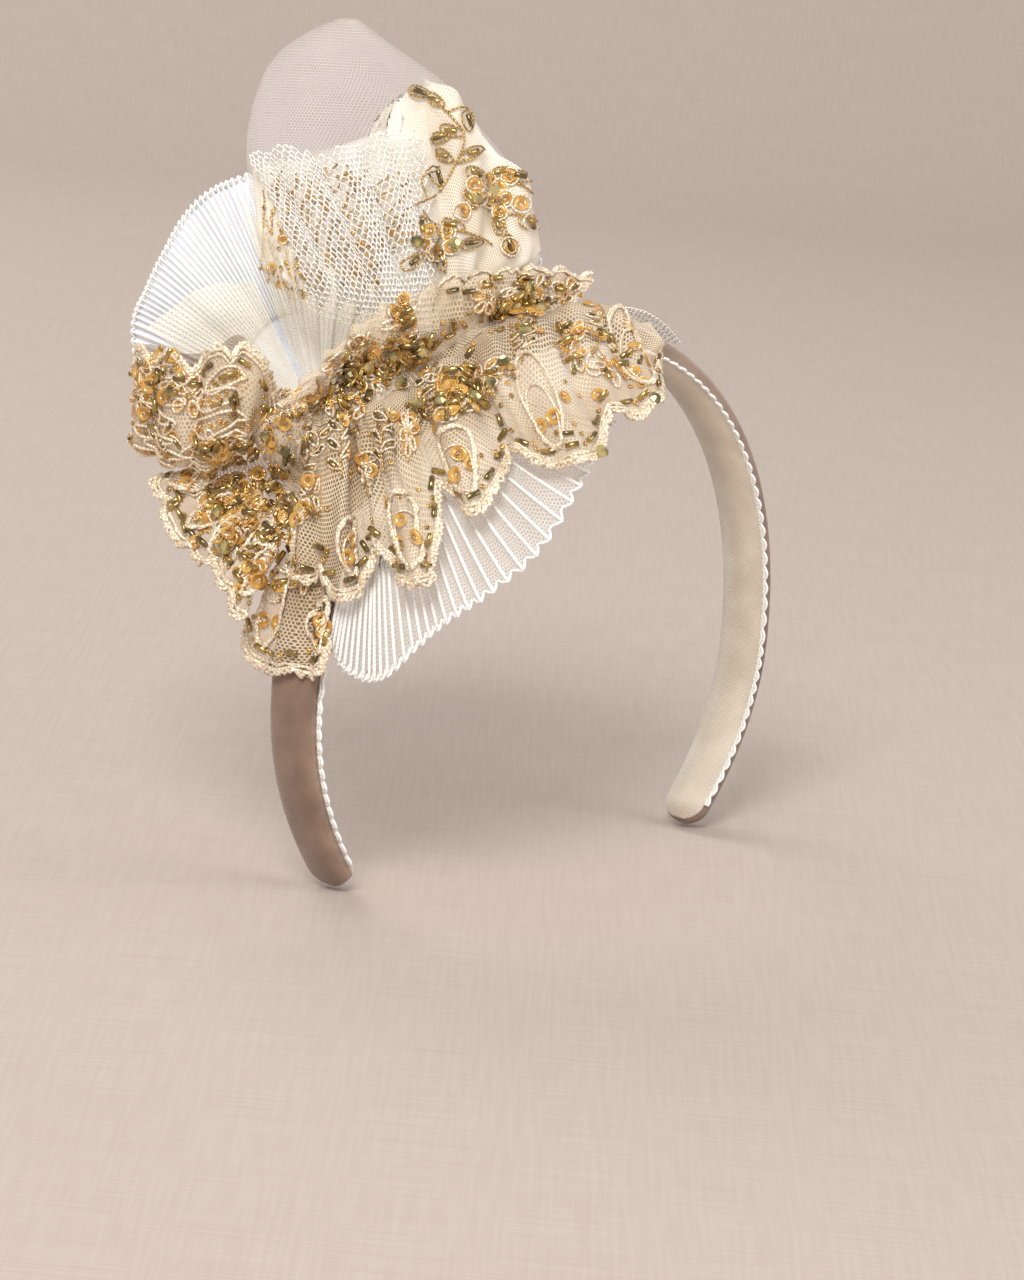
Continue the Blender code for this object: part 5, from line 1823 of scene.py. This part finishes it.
    def knot_beads(self) -> None:
        """The cluster of beads sewn over the knot."""
        work, wild = Beadwork("knot"), random.Random(31)
        for number in range(230):
            way = place(wild.uniform(-1, 1), wild.uniform(-1, 1), wild.uniform(-0.1, 1)).normalized()
            point = on_knot(KNOT + way, 0.0001)
            kind = (Bead.SEED, Bead.SEED, Bead.SEED, Bead.BUGLE, Bead.SEQUIN)[number % 5]
            along = place(wild.uniform(-1, 1), wild.uniform(-1, 1), 0.2)
            work.bead(kind, point, way, along, wild.uniform(0.85, 1.05))
        work.finish()

    def gathers(self, crest: Surface, frill: Surface) -> Surface:
        """The small gathers of net between the crest's foot and the frill's.

        Args:
            crest: The crest.
            frill: The frill.

        Returns:
            Their surface.
        """
        rows = []
        for i in range(121):
            u = 0.02 + 0.90 * i / 120
            top, low = crest.at(u, 0.42), frill.at(u, 0.16)
            wave = 0.0007 * math.sin(i * 1.35) + 0.0004 * math.sin(i * 0.53)
            rows.append([top.lerp(low, j / 12) - OUT * (0.0015 + wave + 0.004 * math.sin(math.pi * j / 12))
                         for j in range(13)])
        return Surface("gathers", rows).turned().measured()

    def trimmed(self, cloth: Surface, trim: Trim) -> None:
        """Sews the hem, flowers, sprays and beads to a lace cloth.

        Args:
            cloth: The cloth.
            trim: What is sewn to it.
        """
        work = Beadwork(cloth.name)
        draw = Embroidery(cloth, work)
        draw.hem(trim.hem.at, trim.low, 1.0, trim.hem.edges if trim.petals else ())
        wild = random.Random(cloth.name)
        for middle in trim.flowers:
            draw.flower(middle, wild.choice((5, 6)), 0.0052, wild.uniform(0, 1.2))
        for u, v, turn, length, leaves in trim.sprays:
            draw.spray((u, v), turn, length, leaves, wild.uniform(-0.6, 0.6))
        if cloth.name == "lace_roll":
            for v in (0.60, 0.66, 0.72, 0.78, 0.84, 0.90):
                draw.ray((0.12 + 0.05 * wild.random(), v), wild.uniform(-0.15, 0.15), 0.017)
                draw.ray((0.50 + 0.08 * wild.random(), v + 0.02), wild.uniform(-0.2, 0.2), 0.013)
        draw.strew(Bead.SEED, trim.seeds, (0.03, 0.97, 0.22, trim.strewn_to), 1.0, 3)
        draw.strew(Bead.SEQUIN, trim.seeds // 5, (0.05, 0.95, 0.20, trim.strewn_to), 0.95, 4)
        draw.strew(Bead.BUGLE, trim.seeds // 6, (0.05, 0.95, 0.20, trim.strewn_to), 0.85, 5)
        work.finish()

    def build(self) -> list[Surface]:
        """Makes the lace and its embroidery.

        Returns:
            The surfaces that single beads are sewn to.
        """
        frill, crest, roll, drape, tail = (self.frill(), self.crest(), self.roll(), self.drape(), self.tail())
        trims = ((frill, self.frill_trim), (crest, self.crest_trim), (roll, self.roll_trim),
                 (drape, self.drape_trim), (tail, self.tail_trim))
        for cloth, trim in trims:
            name = cloth.name.replace("lace_", "") + "_net"
            sheet(name, cloth, "lace_net", cloth.name, trim.hem.at)
        gathers = self.gathers(crest, frill)
        sheet("gathers_net", gathers, "lace_net")
        piece("knot_net", self.knot(), "lace_net", "knot")
        self.knot_beads()
        piece("net_edge_threads", net_mesh(self.strip(), 0.0015, 0.00017, 8), "net_thread", "net_edge")
        for cloth, trim in trims:
            self.trimmed(cloth, trim)
        return [frill, crest, roll, drape, tail, gathers]


# What is placed by where it shows

@dataclass
class Sight:
    """The camera's place and turn, and what a line of sight meets."""

    eye: Vector = field(default_factory=lambda: Vector((-0.8388, -0.8060, 0.1767)))
    right: Vector = field(default_factory=lambda: Vector((0.707107, -0.701836, 0.086175)).normalized())
    back: Vector = field(default_factory=lambda: Vector((-0.701057, -0.679925, 0.214991)).normalized())
    focal: float = 4560.0
    middle: Uv = (512.0, 640.0)
    lens: float = 128.25
    sensor: float = 36.0

    def axes(self) -> tuple[Vector, Vector]:
        """The directions to the right and up in the picture."""
        up = self.back.cross(self.right).normalized()
        return up.cross(self.back).normalized(), up

    def ray(self, x: float, y: float) -> Vector:
        """The direction through a place on the picture, in its pixels.

        Args:
            x: How far right in the picture.
            y: How far down it.

        Returns:
            The direction.
        """
        right, up = self.axes()
        across, down = (x - self.middle[0]) / self.focal, (y - self.middle[1]) / self.focal
        return (right * across - up * down - self.back).normalized()

    def meet(self, trees: Sequence[BVHTree], x: float, y: float) -> tuple[Vector, Vector] | None:
        """The first cloth that the line of sight meets.

        Args:
            trees: The cloths' search trees.
            x: How far right in the picture.
            y: How far down it.

        Returns:
            The place and the normal on the near side, or nothing.
        """
        hits = [tree.ray_cast(self.eye, self.ray(x, y)) for tree in trees]
        hits = [hit for hit in hits if hit[0]]
        if not hits:
            return None
        point, normal, _, _ = min(hits, key=lambda hit: hit[3])
        return point, normal if normal.dot(self.back) > 0 else -normal

    def camera(self) -> None:
        """Adds the camera."""
        data = bpy.data.cameras.new("camera")
        data.lens, data.sensor_width = self.lens, self.sensor
        data.clip_start, data.clip_end = 0.05, 20.0
        obj = put("camera", data)
        right, up = self.axes()
        obj.matrix_world = Matrix.Translation(self.eye) @ Matrix((right, up, self.back)).transposed().to_4x4()
        bpy.context.scene.camera = obj


@dataclass
class Sprigs:
    """The leaves, stems and beads of the sprigged panel and the gold motif under the veil."""

    sight: Sight
    motif_heart: Uv = (345.0, 352.0)
    motif_reach: float = 190.0
    stems: tuple = (
        ((409, 92), (430, 98), (448, 113), (460, 130), (462, 145), (455, 165), (445, 185), (430, 200),
         (413, 206)),
        ((448, 113), (462, 108), (472, 118)), ((455, 165), (470, 160), (482, 150)),
        ((430, 200), (424, 180), (440, 168)), ((480, 190), (500, 184), (520, 186), (532, 196)),
        ((490, 196), (500, 210), (505, 228), (509, 247)), ((505, 215), (520, 216), (530, 222)),
        ((437, 240), (455, 232), (475, 236), (492, 246)), ((425, 262), (437, 240), (432, 222), (425, 212)))
    leaves: tuple = (
        (418, 93, 15), (436, 101, 30), (466, 122, 80), (440, 139, -10), (471, 154, -30), (435, 178, 65),
        (452, 132, 20), (444, 157, 30), (475, 175, 25), (500, 174, -20), (520, 178, 10), (470, 200, 60),
        (497, 225, 80), (528, 224, 20), (508, 246, 75), (452, 226, 15), (470, 244, -15), (425, 228, 70),
        (440, 262, 80), (412, 262, -40))
    sequins: tuple = (
        (474, 186), (487, 181), (499, 189), (489, 201), (476, 198), (510, 178), (530, 182), (499, 213),
        (530, 222), (509, 247), (432, 232), (447, 233), (450, 247), (436, 254), (425, 245), (505, 200),
        (462, 212), (520, 205))
    clusters: tuple = (
        (388, 360, 52, 20, -20, 130), (520, 308, 26, 26, 0, 70), (462, 392, 58, 22, -25, 110),
        (228, 450, 34, 16, 10, 70), (258, 505, 52, 32, 20, 130), (285, 434, 26, 26, 0, 70),
        (160, 385, 24, 40, 20, 60), (400, 312, 14, 14, 0, 26), (590, 352, 46, 22, 25, 60),
        (340, 400, 40, 16, -10, 60), (270, 560, 34, 30, 40, 60))

    def motif(self, work: Beadwork, tree: BVHTree) -> None:
        """The gold motif that shows through the veil: curved rays of seed beads, thread and a few sequins.

        Args:
            work: Takes the beads.
            tree: The puff's search tree.
        """
        wild = random.Random(12)
        for ray in range(34):
            start = 0.95 + 1.60 * ray / 33 + wild.uniform(-0.02, 0.02)
            line, normals = [], []
            for k in range(24):
                far = 0.36 + 0.64 * k / 23
                angle = start + 0.22 * math.sin(far * 4) + wild.uniform(-0.02, 0.02)
                x = self.motif_heart[0] + self.motif_reach * far * math.cos(angle)
                y = self.motif_heart[1] - self.motif_reach * far * math.sin(angle)
                if not (262 < x < 412 and 164 + 0.14 * abs(x - 330) < y < 338):
                    continue
                hit = self.sight.meet([tree], x + wild.uniform(-2, 2), y + wild.uniform(-2, 2))
                if not hit:
                    continue
                line.append(hit[0] + hit[1] * 0.0005)
                normals.append(hit[1])
                chance = wild.random()
                if chance < 0.60:
                    work.bead(Bead.SEED, hit[0] + hit[1] * 0.0004, hit[1], UP, wild.uniform(0.5, 0.85))
                elif chance < 0.64:
                    work.bead(Bead.SEQUIN, hit[0] + hit[1] * 0.0005, hit[1], UP, 0.7)
            if ray % 2:
                work.cord("gold_thread", line, normals, 0.00022)

    def clusters_on(self, lace: Sequence[Surface]) -> None:
        """Sews the dense clusters to the lace.

        Args:
            lace: The lace cloths.
        """
        trees = [cloth.tree() for cloth in lace]
        work, wild = Beadwork("clusters"), random.Random(44)
        for x, y, wide, high, turn, count in self.clusters:
            turn = math.radians(turn)
            for number in range(count):
                angle, far = any_turn(wild), wild.uniform(0, 1) ** 0.6
                right, down = turned(wide * far * math.cos(angle), high * far * math.sin(angle), turn)
                spot = x + right, y + down
                hit = self.sight.meet(trees, *spot)
                if not hit:
                    continue
                way = place(wild.uniform(-1, 1), wild.uniform(-1, 1), 0.1)
                kind = (Bead.SEED, Bead.SEQUIN, Bead.SEED, Bead.BUGLE, Bead.SEED, Bead.SEED)[number % 6]
                point = hit[0] + hit[1] * wild.uniform(0.0002, 0.0010)
                work.bead(kind, point, hit[1], way, wild.uniform(0.85, 1.1))
                if number % 5 == 0:
                    line, normals = [], []
                    size, lean = wild.uniform(9, 15), any_turn(wild)
                    for k in range(13):
                        t = math.tau * k / 12
                        right, down = turned(size * (1 - math.cos(t)) / 2, size * 0.28 * math.sin(t), lean)
                        near = self.sight.meet(trees, spot[0] + right, spot[1] + down)
                        if near and (near[0] - hit[0]).length < 0.008:
                            line.append(near[0] + near[1] * 0.0007)
                            normals.append(near[1])
                    work.cord("gold_cord", line, normals, 0.00036)
        work.finish()

    def build(self, cloths: Sequence[Surface]) -> None:
        """Draws the sprigs.

        Args:
            cloths: The veil, the panel and the puff, that they are sewn to.
        """
        trees = [cloth.tree() for cloth in cloths]
        work = Beadwork("sprigs")

        def trace(line: Sequence[Uv], look: str, radius: float) -> None:
            """Lays a cord where a line on the picture meets the cloths.

            Args:
                line: Its corners on the picture.
                look: Its finish.
                radius: Its radius.
            """
            ends = [Vector((x, y, 0.0)) for x, y in line]
            points, normals = [], []
            for k in range(4 * len(ends) + 1):
                spot = smooth(ends, k / (4 * len(ends)))
                hit = self.sight.meet(trees, spot[0], spot[1])
                if hit:
                    points.append(hit[0] + hit[1] * 0.0008)
                    normals.append(hit[1])
            work.cord(look, points, normals, radius)

        for stem in self.stems:
            trace(stem, "gold_thread", 0.00030)
        for x, y, turn in self.leaves:
            a = math.radians(turn)
            ring = []
            for k in range(11):
                t = math.tau * k / 10
                right, down = turned(11 * math.cos(t), 5.5 * math.sin(t) * (1 - 0.25 * math.cos(t)), a)
                ring.append((x + right, y + down))
            trace(ring, "gold_thread", 0.00028)
            hit = self.sight.meet(trees, x, y)
            if hit:
                far = self.sight.ray(x + math.cos(a), y + math.sin(a)) - self.sight.ray(x, y)
                work.bead(Bead.BUGLE, hit[0] + hit[1] * 0.0004, hit[1], far, 0.95)
        for x, y in self.sequins:
            hit = self.sight.meet(trees, x, y)
            if hit:
                work.bead(Bead.SEQUIN, hit[0] + hit[1] * 0.0004, hit[1], UP, 1.0)
                ring = [(x + 8.5 * math.cos(0.7 * k), y + 8.5 * math.sin(0.7 * k)) for k in range(10)]
                trace(ring, "gold_cord", 0.0003)
        self.motif(work, trees[2])
        work.finish()


# The studio

@dataclass
class Studio:
    """The pale floor and backdrop, the soft lights and the world."""

    floor: float = -0.1375
    half_width: float = 7.0
    front: float = -7.0
    back: float = 1.4
    curve: float = 0.6
    top: float = 3.2
    aim: Vector = field(default_factory=lambda: Vector((-0.03, 0.0, 0.0)))

    def sweep_floor(self) -> None:
        """The floor, curving up to a backdrop."""
        points, faces, uvs = [], [], []
        profile = [(self.front, 0.0), (self.back, 0.0)]
        for k in range(1, 13):
            turn = math.pi / 2 * k / 12
            profile.append((self.back + self.curve * math.sin(turn), self.curve * (1 - math.cos(turn))))
        profile.append((self.back + self.curve, self.top))
        way = -Sight().back
        way.z = 0.0
        way.normalize()
        across = Vector((way.y, -way.x, 0.0))
        for along, rise in profile:
            for wide in (-self.half_width, self.half_width):
                points.append(way * along + across * wide + UP * (self.floor + rise))
                uvs.append((wide, along + rise))
        for i in range(len(profile) - 1):
            faces.append((2 * i, 2 * i + 1, 2 * i + 3, 2 * i + 2))
        obj = put("floor", mesh_of("floor", points, faces, uvs))
        n = Nodes("backdrop_paper")
        uv = n.cloth_map()
        warp = n.noise(n.vector("MULTIPLY", uv, (900.0, 30.0, 1.0)), 1.0, 2.0)
        weft = n.noise(n.vector("MULTIPLY", uv, (30.0, 900.0, 1.0)), 1.0, 2.0)
        level = n.ramp(n.maths("MULTIPLY", n.maths("ADD", warp, weft), 0.5), 0.30, 0.70)
        tone = n.mix(level, (0.455, 0.380, 0.335, 1.0), (0.505, 0.428, 0.382, 1.0))
        n.set(Base_Color=tone, Roughness=0.9)
        obj.data.materials.append(n.material)

    def light(self, name: str, where: Vector, power: float, size: float, tint: Colour) -> None:
        """A square soft light aimed at the headband.

        Args:
            name: Its name.
            where: Its place.
            power: Its power in watts.
            size: The length of its side.
            tint: Its colour.
        """
        data = bpy.data.lights.new(name, "AREA")
        data.energy, data.size, data.color = power, size, tint
        obj = put(name, data)
        obj.location = where
        obj.rotation_euler = (where - self.aim).to_track_quat("Z", "Y").to_euler()

    def build(self) -> None:
        """Sets the studio up."""
        self.sweep_floor()
        self.light("key", Vector((-1.5, -0.9, 1.5)), 40.0, 0.8, (1.0, 0.98, 0.95))
        self.light("fill", Vector((0.9, -1.6, 0.7)), 14.0, 1.2, (0.97, 0.98, 1.0))
        self.light("rim", Vector((0.2, 1.4, 1.2)), 14.0, 1.0, (1.0, 1.0, 1.0))
        world = bpy.data.worlds.new("world")
        world.use_nodes = True
        world.node_tree.nodes["Background"].inputs[0].default_value = (0.93, 0.91, 0.88, 1.0)
        world.node_tree.nodes["Background"].inputs[1].default_value = 0.62
        bpy.context.scene.world = world
        bpy.context.scene.view_settings.view_transform = "Standard"


def frayed_net(frill: Surface) -> None:
    """The coarse white net that shows past the frill's right end, sewn along it.

    Args:
        frill: The frill.
    """
    rows = []
    for i in range(41):
        v = 0.02 + 0.94 * i / 40
        point, along, _, normal = frill.frame(0.965, v)
        reach = 0.0105 + 0.0012 * math.sin(i * 1.1) + 0.0010 * math.sin(i * 2.7)
        rows.append([point + along.normalized() * reach * j / 10 - normal * (0.0006 + 0.0010 * j / 10)
                     for j in range(11)])
    cloth = Surface("frayed_net", rows).turned().measured()
    piece("frayed_net", net_mesh(cloth, 0.0018, 0.00019, 9), "net_thread")


def dress_crystals() -> None:
    """Gives the cut stones their finish."""
    for name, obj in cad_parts.items():
        if name.startswith("crystal_"):
            for slot in obj.material_slots:
                slot.material = finish("crystal")


def main() -> None:
    """Builds the headband and its studio."""
    logging.basicConfig(level=logging.INFO, format="%(message)s")
    sight = Sight()
    sight.camera()
    Studio().build()
    Band().build()
    Fans().build()
    cloths = Puff().build()
    lace = Lace().build()
    sprigs = Sprigs(sight)
    sprigs.build(cloths)
    sprigs.clusters_on(lace)
    frayed_net(lace[0])
    dress_crystals()
    bpy.context.view_layer.update()


if __name__ == "__main__":
    main()
